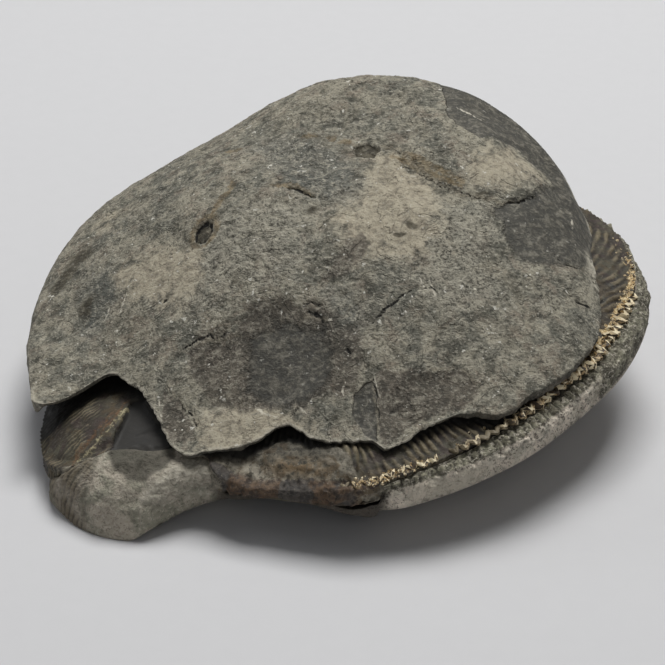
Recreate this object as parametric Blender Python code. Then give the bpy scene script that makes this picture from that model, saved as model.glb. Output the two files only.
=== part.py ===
"""Fossil ammonite in a split stone nodule: the fossil, the stone lid over it and the stone below it.

Sizes are in millimetres and are turned to metres where the meshes are made. X runs right, Y away
from the broken front, Z up from the surface that the nodule lies on.
"""
import math

import bmesh
import bpy
import numpy as np
from mathutils import Vector, noise

# ---------------------------------------------------------------- driving sizes
METRES_PER_MM = 0.001
CLEARANCE = 0.7               # split between the fossil and the stone below it
LID_CLEARANCE = 1.2           # split between the fossil's flank and the lid
THIN_EDGE = 0.8               # thickness of the lid along its broken edge

# The middle of the finished nodule's footprint, moved to the origin at the end.
FOOTPRINT_MIDDLE = (1.0, 11.7)

# The plane of the coil, through the keel: it rises to the right and a little to the back.
COIL_CENTRE = (3.0, 11.0)
KEEL_PLANE = (10.2, 0.16, 0.06)          # height at KEEL_FRONT, rise per mm in X, in Y
KEEL_FRONT = (4.5, -28.4)

# Outline of the coil seen from above, from the right side round by the back.
COIL_OUTLINE = [
    (45.8, 12.5), (45.6, 20.0), (44.2, 26.4), (41.4, 32.6), (36.2, 38.8), (27.6, 43.0),
    (17.0, 45.8), (5.0, 47.2), (-8.0, 45.8), (-20.0, 41.5), (-30.0, 34.0), (-37.0, 24.5),
    (-40.8, 14.0), (-42.4, 4.0), (-42.9, -3.0), (-42.4, -9.0), (-40.8, -14.6),
    (-38.3, -18.0), (-35.0, -17.8), (-31.5, -16.6), (-25.0, -17.6), (-21.6, -17.0),
    (-18.0, -19.2), (-14.2, -22.4), (-10.0, -24.8), (-4.4, -26.7), (1.0, -27.8),
    (4.6, -27.6), (10.2, -25.8), (16.8, -22.9), (21.0, -20.5), (26.2, -16.4),
    (32.5, -10.2), (36.0, -7.2), (40.0, -1.6), (43.0, 5.2),
]
# Height of the fossil's upper edge over the keel plane, by angle round COIL_CENTRE: it is the
# keel's own height except where the shell is broken through, at the front left.
EDGE_HEIGHT = {0: 0.2, 60: 0.2, 120: 0.2, 180: 0.3, 205: 0.3, 212: 1.6, 219: 3.3, 228: 3.4,
               236: 2.6, 244: 0.9, 252: 0.3, 300: 0.2}
# Upper flank: height over the keel plane, distance from the rim that it takes, roundness.
KEELED_FLANK = (4.8, 9.0, 1.35)
ROUNDED_FLANK = (5.6, 5.2, 0.9)          # at the left end of the whorl
# Lower flank: depth below the keel plane, the share of it missing at the rim, and the turn there.
WHORL_DEPTH = 6.6
RIM_THINNING = 0.58
RIM_TURN = 2.4
SHALLOW_MIDDLE = (-9.0, -22.0)           # place at the broken front where little of it is left
SHALLOW_SIZE = (13.0, 9.0)
SHALLOW_SHARE = 0.55
LOWEST_SHELL = 2.4            # the fossil never comes nearer to the surface it lies over
ROPE_WIDTH = 1.9              # keel, a raised cord with cross ribs
ROPE_HEIGHT = 0.7
ROPE_NOTCH = 0.2
RIBS = 72                     # ribs round the last whorl
RIB_START = (1.2, 3.0)        # distances from the rim between which the ribs rise
RIB_HEIGHT = 0.4
RIB_LENGTH = 11.0
RIB_LEAN = math.radians(0.62)            # turn of a rib about the coil for each mm inward

# Crown of the nodule, over the whole lid: a low dome, by angle round LID_CENTRE.
LID_CENTRE = (-3.3, 18.2)
CROWN_HEIGHT = 34.9
CROWN_ROUNDNESS = 2.27
CROWN_SLOPE = 0.917
CROWN_FOOT = (19.4, 3.8, 7.1)            # mean height of the dome's foot, rise in X, in Y
CROWN_RADIUS = [43.3, 42.0, 36.0, 33.2, 33.2, 38.6, 42.2, 47.6, 51.3, 49.1, 49.8, 48.9]
CROWN_SWELL = [4.8, 8.5, 6.8, 0.5, -3.8, -10.8, -9.5, -4.2]

# Flat breaks across the dome: a point on each and its rise per mm in X and in Y.
FACETS = [((26.1, 23.8, 36.7), -0.60, -0.06), ((29.0, 14.0, 33.0), -0.72, 0.12)]
# Shallow places where flakes came off: middle, half length, half width, turn, depth.
SCARS = [(-10.0, -9.3, 10.8, 6.4, 5.0, 0.7), (14.0, -16.2, 7.0, 3.2, 12.0, 0.6)]
# The lid's rounded side, at the back and left where it is whole: its drop, where the turn begins
# as a part of the way out, and how far the wall leans in below it.
WALL_DROP = 2.4
SHOULDER_START = 0.84
UNDERCUT = 3.0
EDGE_BEVEL = 0.4              # lean of the wall under the broken edge
# Broken edge of the lid: angle round LID_CENTRE and distance from it.
LID_EDGE = [
    (0, 42.9), (5, 42.9), (8, 41.5), (16, 41.0), (30, 40.0), (45, 37.6), (60, 34.8), (75, 33.4),
    (90, 33.0), (105, 32.8), (120, 33.2), (135, 35.6), (150, 38.4), (165, 40.6), (180, 42.2),
    (195, 44.0), (201, 44.9), (208, 46.5), (213.5, 47.8), (215.2, 47.4), (217, 41.6), (218.5, 38.4),
    (221, 36.7), (227.5, 36.4), (232.6, 37.4), (237.5, 39.2), (242.6, 41.6), (246, 42.4),
    (249.5, 41.2), (256, 39.8), (260, 38.4), (264.4, 36.6), (267, 37.1), (271.5, 39.1),
    (277, 40.2), (282.6, 41.0), (284.4, 42.8), (287.2, 42.5), (292.4, 42.1), (297, 42.0),
    (302.5, 44.1), (305.5, 46.2), (308.2, 46.5), (311.5, 46.2), (318.9, 47.6), (324, 48.3),
    (329.7, 47.9), (334.7, 47.0), (342.3, 44.8), (347.5, 43.4), (354.4, 42.5),
]
CAVE_MIDDLE = (-35.0, -6.0)              # hollow under the lid's front left corner
CAVE_REACH = 9.0
CAVE_HEIGHT = 8.0
GAPE_MIDDLE = (-9.0, -19.0)              # slightly wider gap at the broken front
GAPE_REACH = 8.0
GAPE_HEIGHT = 1.1

# Outline of the stone below, at its widest, from the right side round by the back.
BASE_OUTLINE = [
    (48.0, 12.0), (47.2, 19.0), (45.8, 26.0), (42.4, 33.0), (36.8, 39.6), (28.6, 44.6),
    (18.0, 48.2), (5.0, 49.8), (-8.5, 48.4), (-21.0, 44.0), (-31.5, 36.0), (-38.4, 26.0),
    (-40.6, 14.0), (-41.0, 4.0), (-41.0, -3.0), (-40.8, -9.0), (-40.8, -14.4),
    (-40.0, -18.6), (-36.8, -22.2), (-34.0, -24.4), (-31.0, -25.7), (-26.2, -26.0),
    (-20.9, -23.1), (-16.6, -22.1), (-13.6, -22.3), (-10.0, -22.0), (-4.0, -23.4),
    (0.0, -24.8), (3.5, -26.9), (7.0, -27.7), (10.5, -27.5), (14.7, -26.3), (21.7, -23.4),
    (27.2, -20.2), (31.4, -16.7), (36.0, -12.1), (41.0, -6.2), (44.7, 0.3), (47.0, 6.5),
]
# Heights of the stone below: of its lip, where it meets the fossil's edge, and of its widest
# line, both over the keel plane; and of the lump's lip and foot, by angle round COIL_CENTRE.
LIP_OVER_KEEL = -0.3
RIM_UNDER_KEEL = -2.7
RIM_ROUNDNESS = 2.2
EDGE_FACE = 0.4                          # height of the small upright face along the widest line
FOOT_UNDER_FOSSIL = 1.3                  # foot below the fossil's flank where the stone ends under it
BOWL_GAP = 0.4                           # bowl's end and lip, outside the fossil's edge
LIP_GAP = 0.65
BOWL_INSIDE = 0.5                        # and how far inside the stone's own outline they stay
LIP_INSIDE = 0.25
BOWL_RELIEF = 1.3                        # extra depth of the bowl where the stone stands beside
LUMP_START = 209.0                       # the lump of stone at the front left, then its bridge
BRIDGE_END = 246.0
LUMP_LIP = {205: 2.5, 211: 3.2, 214: 4.6, 217: 7.6, 219: 8.8, 228: 9.5, 236: 9.3, 243: 8.6,
            249: 7.6}
LUMP_FOOT = {205: 2.2, 212: 1.4, 217: 0.6, 222: 0.0, 229.5: 0.0, 234.5: 3.8, 239: 5.8, 244: 6.6,
             250: 6.2}
BELLY_REACH = 0.42                       # part of the way out where the flat belly ends
BELLY_ROUNDNESS = (2.0, 0.75)            # turn up from the belly, and turn in at the rim
FLOOR_LEFT = 0.9                         # least stone between the hollow and the bowl
ARCH_MIDDLE = (-8.5, -20.5)              # hollow under the bridge between lump and belly
ARCH_SIZE = (12.5, 9.5)
ARCH_HEIGHT = 7.0
ARCH_FADE = 0.6

LUMPINESS = 0.35              # unevenness of the stone
LUMP_SPACING = 9.0

# Mesh: cells along the middle square, then rings as (sectors per side, distance from centre).
MIDDLE_CELLS = 9
MIDDLE_REACH = 0.32
MIDDLE_BEND = 0.55            # 0 for a square middle, 1 for a round one
LID_TOP = [(9, 0.44), (9, 0.56), (18, 0.66), (18, 0.76), (18, SHOULDER_START), (36, 0.90),
           (36, 0.94), (36, 0.975), (36, 1.0)]
LID_UNDER = [(9, 0.46), (9, 0.64), (18, 0.78), (18, 0.89), (36, 0.955), (36, 1.0)]
COIL_TOP = [(9, 0.44), (9, 0.60), (18, 0.72), (36, 0.83), (36, 0.90), (36, 0.95), (36, 0.977),
            (36, 1.0)]
COIL_UNDER = [(9, 0.46), (9, 0.64), (18, 0.80), (36, 0.92), (36, 0.97), (36, 1.0)]
# The stone below: BOWL_END is where the bowl under the fossil stops and LIP_START where the
# stone beside the fossil begins.
BOWL_END = 0.80
LIP_START = 0.82
BASE_TOP = [(9, 0.40), (9, 0.58), (18, 0.70), (36, BOWL_END), (36, LIP_START), (36, 0.90), (36, 0.96),
            (36, 1.0)]
BASE_UNDER = [(9, 0.46), (9, 0.62), (18, 0.74), (18, 0.84), (36, 0.92), (36, 0.97), (36, 1.0)]

COLOURS = {
    "nodule_lid": (0.205, 0.190, 0.165, 0.86),
    "ammonite": (0.150, 0.105, 0.070, 0.62),
    "nodule_base": (0.190, 0.170, 0.150, 0.88),
}


# ---------------------------------------------------------------- curves round a centre
def round_curve(angles, values, theta):
    """Smooth closed curve through values at angles (degrees), without overshoot, at theta."""
    order = np.argsort(np.asarray(angles, float))
    a = np.asarray(angles, float)[order]
    v = np.asarray(values, float)[order]
    a = np.concatenate([a[-2:] - 360.0, a, a[:3] + 360.0])
    v = np.concatenate([v[-2:], v, v[:3]])
    step = np.diff(a)
    slope = np.diff(v) / step
    tangent = np.zeros_like(v)
    same_way = slope[:-1] * slope[1:] > 1e-12
    before = np.where(same_way, slope[:-1], 1.0)
    after = np.where(same_way, slope[1:], 1.0)
    weight_a = 2.0 * step[1:] + step[:-1]
    weight_b = step[1:] + 2.0 * step[:-1]
    mean = (weight_a + weight_b) / (weight_a / before + weight_b / after)
    tangent[1:-1] = np.where(same_way, mean, 0.0)
    angle = np.degrees(theta) % 360.0
    k = np.clip(np.searchsorted(a, angle, side="right") - 1, 0, len(step) - 1)
    u = (angle - a[k]) / step[k]
    start = (1.0 + 2.0 * u) * (1.0 - u) ** 2 * v[k] + u * (1.0 - u) ** 2 * step[k] * tangent[k]
    end = u * u * (3.0 - 2.0 * u) * v[k + 1] + u * u * (u - 1.0) * step[k] * tangent[k + 1]
    return start + end


def wave_curve(values, theta):
    """Smooth closed wave through equally spaced values, the first at angle 0."""
    count = len(values)
    parts = np.fft.rfft(values) / count
    result = np.full(np.shape(theta), parts[0].real)
    for k in range(1, len(parts)):
        share = 2.0 if k < count / 2 else 1.0
        result = result + share * (parts[k].real * np.cos(k * theta) - parts[k].imag * np.sin(k * theta))
    return result


def outline_radius(points, centre, theta):
    """Distance of a closed outline of points from the centre, at the angles theta."""
    angles = [math.degrees(math.atan2(y - centre[1], x - centre[0])) % 360.0 for x, y in points]
    radii = [math.hypot(x - centre[0], y - centre[1]) for x, y in points]
    return round_curve(angles, radii, theta)


def ease(value, low, high):
    """0 below low, 1 above high, smooth between."""
    t = np.clip((value - low) / (high - low), 0.0, 1.0)
    return t * t * (3.0 - 2.0 * t)


def polar(x, y, centre):
    return np.arctan2(y - centre[1], x - centre[0]), np.hypot(x - centre[0], y - centre[1])


def soft_spot(x, y, middle, size):
    """1 at the middle of a rounded patch, falling to 0 around it."""
    return np.exp(-((x - middle[0]) / size[0]) ** 2 - ((y - middle[1]) / size[1]) ** 2)


def unevenness(x, y):
    """Soft lumps of the stone, between about -1 and 1."""
    seed = 3.1
    values = [noise.noise(Vector((a, b, seed))) for a, b in zip(x / LUMP_SPACING, y / LUMP_SPACING)]
    return 1.6 * np.asarray(values)


# ---------------------------------------------------------------- surfaces
def keel_height(x, y):
    return KEEL_PLANE[0] + KEEL_PLANE[1] * (x - KEEL_FRONT[0]) + KEEL_PLANE[2] * (y - KEEL_FRONT[1])


def coil_edge(theta):
    return outline_radius(COIL_OUTLINE, COIL_CENTRE, theta)


def left_end(theta):
    """1 at the rounded left end of the last whorl, 0 where the rim has its keel."""
    angle = np.degrees(theta) % 360.0
    return ease(angle, 165.0, 190.0) * (1.0 - ease(angle, 214.0, 245.0))


def flank(inward, theta):
    """Height of the upper flank over the keel plane, by the distance inward from the rim."""
    depth = np.clip(inward, 0.0, None)
    keeled, rounded = (
        height * (1.0 - np.exp(-(depth / reach) ** roundness))
        for height, reach, roundness in (KEELED_FLANK, ROUNDED_FLANK)
    )
    share = left_end(theta)
    height = keeled * (1.0 - share) + rounded * share
    edge = round_curve(list(EDGE_HEIGHT), list(EDGE_HEIGHT.values()), theta)
    return np.maximum(height, edge)


def coil_top(x, y):
    """Upper flank of the fossil, without ribs and keel."""
    theta, radius = polar(x, y, COIL_CENTRE)
    return keel_height(x, y) + flank(coil_edge(theta) - radius, theta)


def coil_bottom(x, y):
    """Lower flank of the fossil."""
    theta, radius = polar(x, y, COIL_CENTRE)
    inward = np.clip(coil_edge(theta) - radius, 0.0, None)
    depth = WHORL_DEPTH * (1.0 - RIM_THINNING * np.exp(-inward / RIM_TURN))
    depth = depth * (1.0 - SHALLOW_SHARE * soft_spot(x, y, SHALLOW_MIDDLE, SHALLOW_SIZE))
    low = keel_height(x, y) - depth
    softness = 1.5
    return LOWEST_SHELL + np.log1p(np.exp((low - LOWEST_SHELL) * softness)) / softness


def ribs(theta, inward):
    """Height of the ribs and of the cord-like keel on the upper side of the rim."""
    wave = np.cos(RIBS * theta)
    on_flank = ease(inward, *RIB_START) * (1.0 - ease(inward, RIB_LENGTH * 0.5, RIB_LENGTH))
    rope = np.exp(-((inward - 0.5 * ROPE_WIDTH) / (0.5 * ROPE_WIDTH)) ** 2)
    keeled = 1.0 - left_end(theta)
    return RIB_HEIGHT * wave * on_flank + keeled * rope * (ROPE_HEIGHT + ROPE_NOTCH * wave)


def crown(x, y):
    """The nodule's upper surface."""
    theta, distance = polar(x, y, LID_CENTRE)
    part = np.clip(distance / wave_curve(CROWN_RADIUS, theta), 0.0, 1.0)
    foot = CROWN_FOOT[0] + CROWN_FOOT[1] * np.cos(theta) + CROWN_FOOT[2] * np.sin(theta)
    dome = foot + (CROWN_HEIGHT - foot) * (1.0 - part ** CROWN_ROUNDNESS) ** CROWN_SLOPE
    swell = wave_curve(CROWN_SWELL, theta) * 4.0 * part ** 2 * (1.0 - part ** 2)
    height = dome + swell
    for (px, py, pz), rise_x, rise_y in FACETS:
        height = np.minimum(height, pz + rise_x * (x - px) + rise_y * (y - py))
    for px, py, length, width, turn, depth in SCARS:
        c, s = math.cos(math.radians(turn)), math.sin(math.radians(turn))
        along = ((x - px) * c + (y - py) * s) / length
        across = ((y - py) * c - (x - px) * s) / width
        height = height - depth * (1.0 - ease(np.hypot(along, across), 0.8, 1.1))
    return height + LUMPINESS * unevenness(x, y)


def whole_side(theta):
    """1 round the back and left of the lid, 0 along its broken front and right."""
    angle = np.degrees(theta) % 360.0
    return ease(angle, 20.0, 60.0) * (1.0 - ease(angle, 188.0, 214.0))


def lid_underside(x, y):
    """Underside of the lid: the fossil's flank over again, with a hollow at the front left."""
    away = (x - CAVE_MIDDLE[0]) ** 2 + (y - CAVE_MIDDLE[1]) ** 2
    hollow = CAVE_HEIGHT * np.exp(-(away / CAVE_REACH ** 2) ** 1.5)
    gape = GAPE_HEIGHT * soft_spot(x, y, GAPE_MIDDLE, (GAPE_REACH, GAPE_REACH))
    close = coil_top(x, y) + LID_CLEARANCE + hollow + gape
    return np.minimum(close, crown(x, y) - THIN_EDGE)


def base_edge(theta):
    return outline_radius(BASE_OUTLINE, COIL_CENTRE, theta)


def lump_share(theta):
    """1 at the lump and bridge at the front left, 0 elsewhere."""
    angle = np.degrees(theta) % 360.0
    begins = ease(angle, LUMP_START - 3.0, LUMP_START + 3.0)
    return begins * (1.0 - ease(angle, BRIDGE_END - 2.0, BRIDGE_END + 2.0))


def stands_beside(theta):
    """1 where the stone below shows beside the fossil's edge, 0 where it ends under the fossil."""
    return ease(base_edge(theta) - coil_edge(theta), 0.9, 1.8)


def base_foot(theta, x, y):
    """Height of the stone below at its outline."""
    under_fossil = coil_bottom(x, y) - FOOT_UNDER_FOSSIL
    beside_fossil = keel_height(x, y) + RIM_UNDER_KEEL
    beside = stands_beside(theta)
    plain = under_fossil * (1.0 - beside) + beside_fossil * beside
    lump = round_curve(list(LUMP_FOOT), list(LUMP_FOOT.values()), theta)
    share = lump_share(theta)
    return np.maximum(plain * (1.0 - share) + lump * share, 0.0)


def base_radius(theta, distance):
    """Distance from the centre of the points of the upper side, by their place from 0 to 1."""
    edge = base_edge(theta)
    bowl_end = np.minimum(coil_edge(theta) + BOWL_GAP, edge - BOWL_INSIDE)
    lip = np.minimum(coil_edge(theta) + LIP_GAP, edge - LIP_INSIDE)
    part = np.clip((distance - LIP_START) / (1.0 - LIP_START), 0.0, 1.0)
    in_bowl = distance <= BOWL_END + 1e-6
    return np.where(in_bowl, bowl_end * distance / BOWL_END, lip + (edge - lip) * part)


def base_top(x, y, theta, distance):
    """Upper side of the stone below: a bowl under the fossil, a rim and the lump beside it."""
    deeper = BOWL_RELIEF * ease(distance, 0.55, 0.72) * stands_beside(theta)
    bowl = coil_bottom(x, y) - CLEARANCE - deeper
    part = np.clip((distance - LIP_START) / (1.0 - LIP_START), 0.0, 1.0)
    share = lump_share(theta)
    lump = round_curve(list(LUMP_LIP), list(LUMP_LIP.values()), theta)
    lip = (keel_height(x, y) + LIP_OVER_KEEL) * (1.0 - share) + lump * share
    foot = base_foot(theta, x, y) + EDGE_FACE
    rounded = foot + (lip - foot) * np.sqrt(np.clip(1.0 - part ** RIM_ROUNDNESS, 0.0, 1.0))
    weight = np.where(distance > BOWL_END + 1e-6, stands_beside(theta), 0.0)
    return bowl * (1.0 - weight) + rounded * weight


def base_underside(x, y, theta, distance):
    """Underside: a flat belly to lie on, rounded up to the rim, with a hollow under the bridge."""
    t = np.clip((distance - BELLY_REACH) / (1.0 - BELLY_REACH), 0.0, 1.0)
    turn_up, turn_in = BELLY_ROUNDNESS
    bowl = base_foot(theta, x, y) * (1.0 - (1.0 - t ** turn_up) ** turn_in)
    across = ((x - ARCH_MIDDLE[0]) / ARCH_SIZE[0]) ** 2 + ((y - ARCH_MIDDLE[1]) / ARCH_SIZE[1]) ** 2
    arch = ARCH_HEIGHT * np.exp(-across ** 2) - ARCH_FADE
    ceiling = coil_bottom(x, y) - CLEARANCE - FLOOR_LEFT
    return np.clip(np.maximum(bowl, arch), 0.0, np.maximum(ceiling, 0.0))


# ---------------------------------------------------------------- meshes
def disc_points(rings):
    """Angle and distance (0 to 1) of the points of a disc: a middle square, then rings."""
    cells = MIDDLE_CELLS
    side = np.linspace(-1.0, 1.0, cells + 1)
    gx, gy = np.meshgrid(side, side, indexing="ij")
    reach = np.maximum(np.maximum(np.abs(gx), np.abs(gy)), 1e-9)
    px = gx * (1.0 - MIDDLE_BEND + MIDDLE_BEND * np.cos(np.pi / 4 * gy / reach))
    py = gy * (1.0 - MIDDLE_BEND + MIDDLE_BEND * np.cos(np.pi / 4 * gx / reach))
    theta = np.arctan2(py, px).ravel()
    distance = MIDDLE_REACH * np.hypot(px, py).ravel()
    for per_side, place in rings:
        step = np.linspace(-1.0, 1.0, per_side + 1)[:-1]
        side_turn = np.arctan(step) if per_side <= cells else step * math.pi / 4
        around = np.concatenate([side_turn + quarter * math.pi / 2 for quarter in range(4)])
        theta = np.concatenate([theta, around])
        distance = np.concatenate([distance, np.full(len(around), place)])
    return theta, distance


def disc_faces(rings):
    """Faces of the same disc, seen from above counterclockwise, and its outermost loop."""
    cells = MIDDLE_CELLS
    number = np.arange((cells + 1) ** 2).reshape(cells + 1, cells + 1)
    faces = []
    for i in range(cells):
        for j in range(cells):
            faces.append((number[i, j], number[i + 1, j], number[i + 1, j + 1], number[i, j + 1]))
    last = cells
    loop = [number[last, j] for j in range(cells)]
    loop += [number[last - i, last] for i in range(cells)]
    loop += [number[0, last - j] for j in range(cells)]
    loop += [number[i, 0] for i in range(cells)]
    start = (cells + 1) ** 2
    for per_side, _ in rings:
        ring = [start + k for k in range(4 * per_side)]
        start += len(ring)
        n, m = len(loop), len(ring)
        for k in range(n):
            a, b = loop[k], loop[(k + 1) % n]
            if m == n:
                faces.append((a, ring[k], ring[(k + 1) % m], b))
            else:
                c, d, e = ring[2 * k], ring[2 * k + 1], ring[(2 * k + 2) % m]
                faces.extend([(a, c, d), (a, d, b), (b, d, e)])
        loop = ring
    return faces, loop


def spread(theta, distance, edge, centre):
    """Place points of the unit disc inside an outline: round in the middle, the outline outside."""
    mean = float(np.mean(edge(np.linspace(0.0, 2.0 * math.pi, 73)[:-1])))
    share = ease(distance, 0.25, 0.95)
    radius = distance * (mean * (1.0 - share) + edge(theta) * share)
    return centre[0] + radius * np.cos(theta), centre[1] + radius * np.sin(theta), radius


def make_piece(name, top_points, top_faces, top_loop, bottom_points, bottom_faces, bottom_loop):
    """One closed solid from an upper and a lower disc, joined by a wall round their edges."""
    mesh = bpy.data.meshes.new(name)
    body = bmesh.new()
    upper = [body.verts.new(p) for p in top_points]
    lower = [body.verts.new(p) for p in bottom_points]
    for face in top_faces:
        body.faces.new([upper[i] for i in face])
    for face in bottom_faces:
        body.faces.new([lower[i] for i in reversed(face)])
    count = len(top_loop)
    for k in range(count):
        a, b = top_loop[k], top_loop[(k + 1) % count]
        c, d = bottom_loop[k], bottom_loop[(k + 1) % count]
        body.faces.new((upper[b], upper[a], lower[c], lower[d]))
    bmesh.ops.triangulate(body, faces=body.faces[:])
    bmesh.ops.recalc_face_normals(body, faces=body.faces[:])
    body.to_mesh(mesh)
    body.free()
    mesh.shade_smooth()
    mesh.set_sharp_from_angle(angle=math.radians(35.0))
    piece = bpy.data.objects.new(name, mesh)
    bpy.context.scene.collection.objects.link(piece)
    material = bpy.data.materials.new(name)
    material.use_nodes = True
    shader = material.node_tree.nodes["Principled BSDF"]
    red, green, blue, rough = COLOURS[name]
    shader.inputs["Base Color"].default_value = (red, green, blue, 1.0)
    shader.inputs["Roughness"].default_value = rough
    shader.inputs["Metallic"].default_value = 0.0
    mesh.materials.append(material)
    return piece


def in_metres(x, y, z):
    moved = np.stack([x - FOOTPRINT_MIDDLE[0], y - FOOTPRINT_MIDDLE[1], z], axis=1)
    return (moved * METRES_PER_MM).tolist()


def lid_edge(theta):
    angles, radii = zip(*LID_EDGE)
    return round_curve(angles, radii, theta)


def disc_side(rings, edge, centre, surface):
    """Points, faces and outer loop of one side of a piece."""
    theta, distance = disc_points(rings)
    x, y, _ = spread(theta, distance, edge, centre)
    faces, loop = disc_faces(rings)
    return in_metres(x, y, surface(x, y, theta, distance)), faces, loop


def build_lid():
    def upper(x, y, theta, distance):
        turn = np.clip((distance - SHOULDER_START) / (1.0 - SHOULDER_START), 0.0, 1.0)
        shoulder = WALL_DROP * whole_side(theta) * (1.0 - np.sqrt(1.0 - turn ** 2))
        return crown(x, y) - shoulder

    def under(x, y, theta, distance):
        return lid_underside(x, y)

    def under_edge(theta):
        return lid_edge(theta) - EDGE_BEVEL - UNDERCUT * whole_side(theta)

    top = disc_side(LID_TOP, lid_edge, LID_CENTRE, upper)
    bottom = disc_side(LID_UNDER, under_edge, LID_CENTRE, under)
    return make_piece("nodule_lid", *top, *bottom)


def build_ammonite():
    theta, distance = disc_points(COIL_TOP)
    radius = spread(theta, distance, coil_edge, COIL_CENTRE)[2]
    inward = coil_edge(theta) - radius
    turned = theta - RIB_LEAN * np.clip(inward, 0.0, RIB_LENGTH)
    x, y, radius = spread(turned, distance, coil_edge, COIL_CENTRE)
    faces, loop = disc_faces(COIL_TOP)
    top = in_metres(x, y, coil_top(x, y) + ribs(theta, coil_edge(turned) - radius))

    def under(x, y, theta, distance):
        return coil_bottom(x, y)

    bottom = disc_side(COIL_UNDER, coil_edge, COIL_CENTRE, under)
    return make_piece("ammonite", top, faces, loop, *bottom)


def build_base():
    theta, distance = disc_points(BASE_TOP)
    radius = base_radius(theta, distance)
    x = COIL_CENTRE[0] + radius * np.cos(theta)
    y = COIL_CENTRE[1] + radius * np.sin(theta)
    faces, loop = disc_faces(BASE_TOP)
    top = in_metres(x, y, base_top(x, y, theta, distance))

    def under(x, y, theta, distance):
        return base_underside(x, y, theta, distance)

    bottom = disc_side(BASE_UNDER, base_edge, COIL_CENTRE, under)
    return make_piece("nodule_base", top, faces, loop, *bottom)


for old in list(bpy.data.objects):
    bpy.data.objects.remove(old)
build_lid()
build_ammonite()
build_base()
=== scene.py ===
# %% [markdown]
# # A fossil ammonite in its split stone nodule
# This notebook dresses three solids: the stone lid over the fossil, the coiled fossil itself and
# the stone below it. Each solid is replaced by a denser mesh of the same form, because broken
# stone gets its look from relief that is finer than the solids hold. All sizes are in millimetres
# of the drawing, and one helper turns them into Blender's metres.

# %% Load the frame
import math

import bmesh
import bpy
import numpy as np
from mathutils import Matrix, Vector, noise


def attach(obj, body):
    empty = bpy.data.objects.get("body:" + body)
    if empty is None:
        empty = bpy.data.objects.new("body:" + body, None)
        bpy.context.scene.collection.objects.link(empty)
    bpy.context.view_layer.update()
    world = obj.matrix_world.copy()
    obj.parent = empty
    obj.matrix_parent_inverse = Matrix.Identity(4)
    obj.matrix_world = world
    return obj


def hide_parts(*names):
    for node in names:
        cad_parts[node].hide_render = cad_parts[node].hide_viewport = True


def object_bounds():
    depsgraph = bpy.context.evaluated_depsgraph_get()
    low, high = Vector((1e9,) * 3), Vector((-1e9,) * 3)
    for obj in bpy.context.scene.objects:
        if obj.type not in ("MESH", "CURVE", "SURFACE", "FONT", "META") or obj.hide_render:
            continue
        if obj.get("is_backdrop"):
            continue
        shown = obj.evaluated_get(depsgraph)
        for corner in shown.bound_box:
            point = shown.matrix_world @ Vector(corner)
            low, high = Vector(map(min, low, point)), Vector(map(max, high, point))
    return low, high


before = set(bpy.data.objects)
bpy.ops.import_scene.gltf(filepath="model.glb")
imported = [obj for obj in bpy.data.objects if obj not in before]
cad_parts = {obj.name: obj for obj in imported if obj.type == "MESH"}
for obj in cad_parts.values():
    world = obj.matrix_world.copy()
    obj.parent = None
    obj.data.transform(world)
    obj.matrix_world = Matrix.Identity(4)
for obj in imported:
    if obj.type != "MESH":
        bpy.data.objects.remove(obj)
solid_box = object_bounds()
print("solids:", sorted(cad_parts))

# %% [markdown]
# ## Curves, noise and painted places
# A broken stone is a smooth form plus three kinds of accident: patches where a flake came away,
# strokes such as cracks and ledges, and grain. Each accident is a small function of the plan
# position, in millimetres, and returns 0 to 1. The same value then moves the mesh and colours it,
# so relief and colour always agree.

# %% Curve helpers
METRES_PER_MM = 0.001
FOOTPRINT_MIDDLE = (1.0, 11.7)  # in drawing mm; this place becomes the origin


def round_curve(angles, values, theta):
    """Smooth closed curve through values at angles (degrees), without overshoot, at theta."""
    order = np.argsort(np.asarray(angles, float))
    a = np.asarray(angles, float)[order]
    v = np.asarray(values, float)[order]
    a = np.concatenate([a[-2:] - 360.0, a, a[:3] + 360.0])
    v = np.concatenate([v[-2:], v, v[:3]])
    step = np.diff(a)
    slope = np.diff(v) / step
    same_way = slope[:-1] * slope[1:] > 1e-12
    before = np.where(same_way, slope[:-1], 1.0)
    after = np.where(same_way, slope[1:], 1.0)
    weight_a = 2.0 * step[1:] + step[:-1]
    weight_b = step[1:] + 2.0 * step[:-1]
    mean = (weight_a + weight_b) / (weight_a / before + weight_b / after)
    tangent = np.zeros_like(v)
    tangent[1:-1] = np.where(same_way, mean, 0.0)
    angle = np.degrees(theta) % 360.0
    k = np.clip(np.searchsorted(a, angle, side="right") - 1, 0, len(step) - 1)
    u = (angle - a[k]) / step[k]
    start = (1.0 + 2.0 * u) * (1.0 - u) ** 2 * v[k] + u * (1.0 - u) ** 2 * step[k] * tangent[k]
    end = u * u * (3.0 - 2.0 * u) * v[k + 1] + u * u * (u - 1.0) * step[k] * tangent[k + 1]
    return start + end


def table_curve(table, theta):
    return round_curve(list(table), list(table.values()), theta)


def wave_curve(values, theta):
    """Smooth closed wave through equally spaced values, the first at angle 0."""
    count = len(values)
    parts = np.fft.rfft(values) / count
    result = np.full(np.shape(theta), parts[0].real)
    for k in range(1, len(parts)):
        share = 2.0 if k < count / 2 else 1.0
        wave = parts[k].real * np.cos(k * theta) - parts[k].imag * np.sin(k * theta)
        result = result + share * wave
    return result


def outline_radius(points, centre, theta):
    angles = [math.degrees(math.atan2(y - centre[1], x - centre[0])) % 360.0 for x, y in points]
    radii = [math.hypot(x - centre[0], y - centre[1]) for x, y in points]
    return round_curve(angles, radii, theta)


def ease(value, low, high):
    """0 below low, 1 above high, smooth between."""
    t = np.clip((value - low) / (high - low), 0.0, 1.0)
    return t * t * (3.0 - 2.0 * t)


def turn_of(theta):
    """Radians as degrees from 0 to 360."""
    return np.degrees(theta) % 360.0


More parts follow.
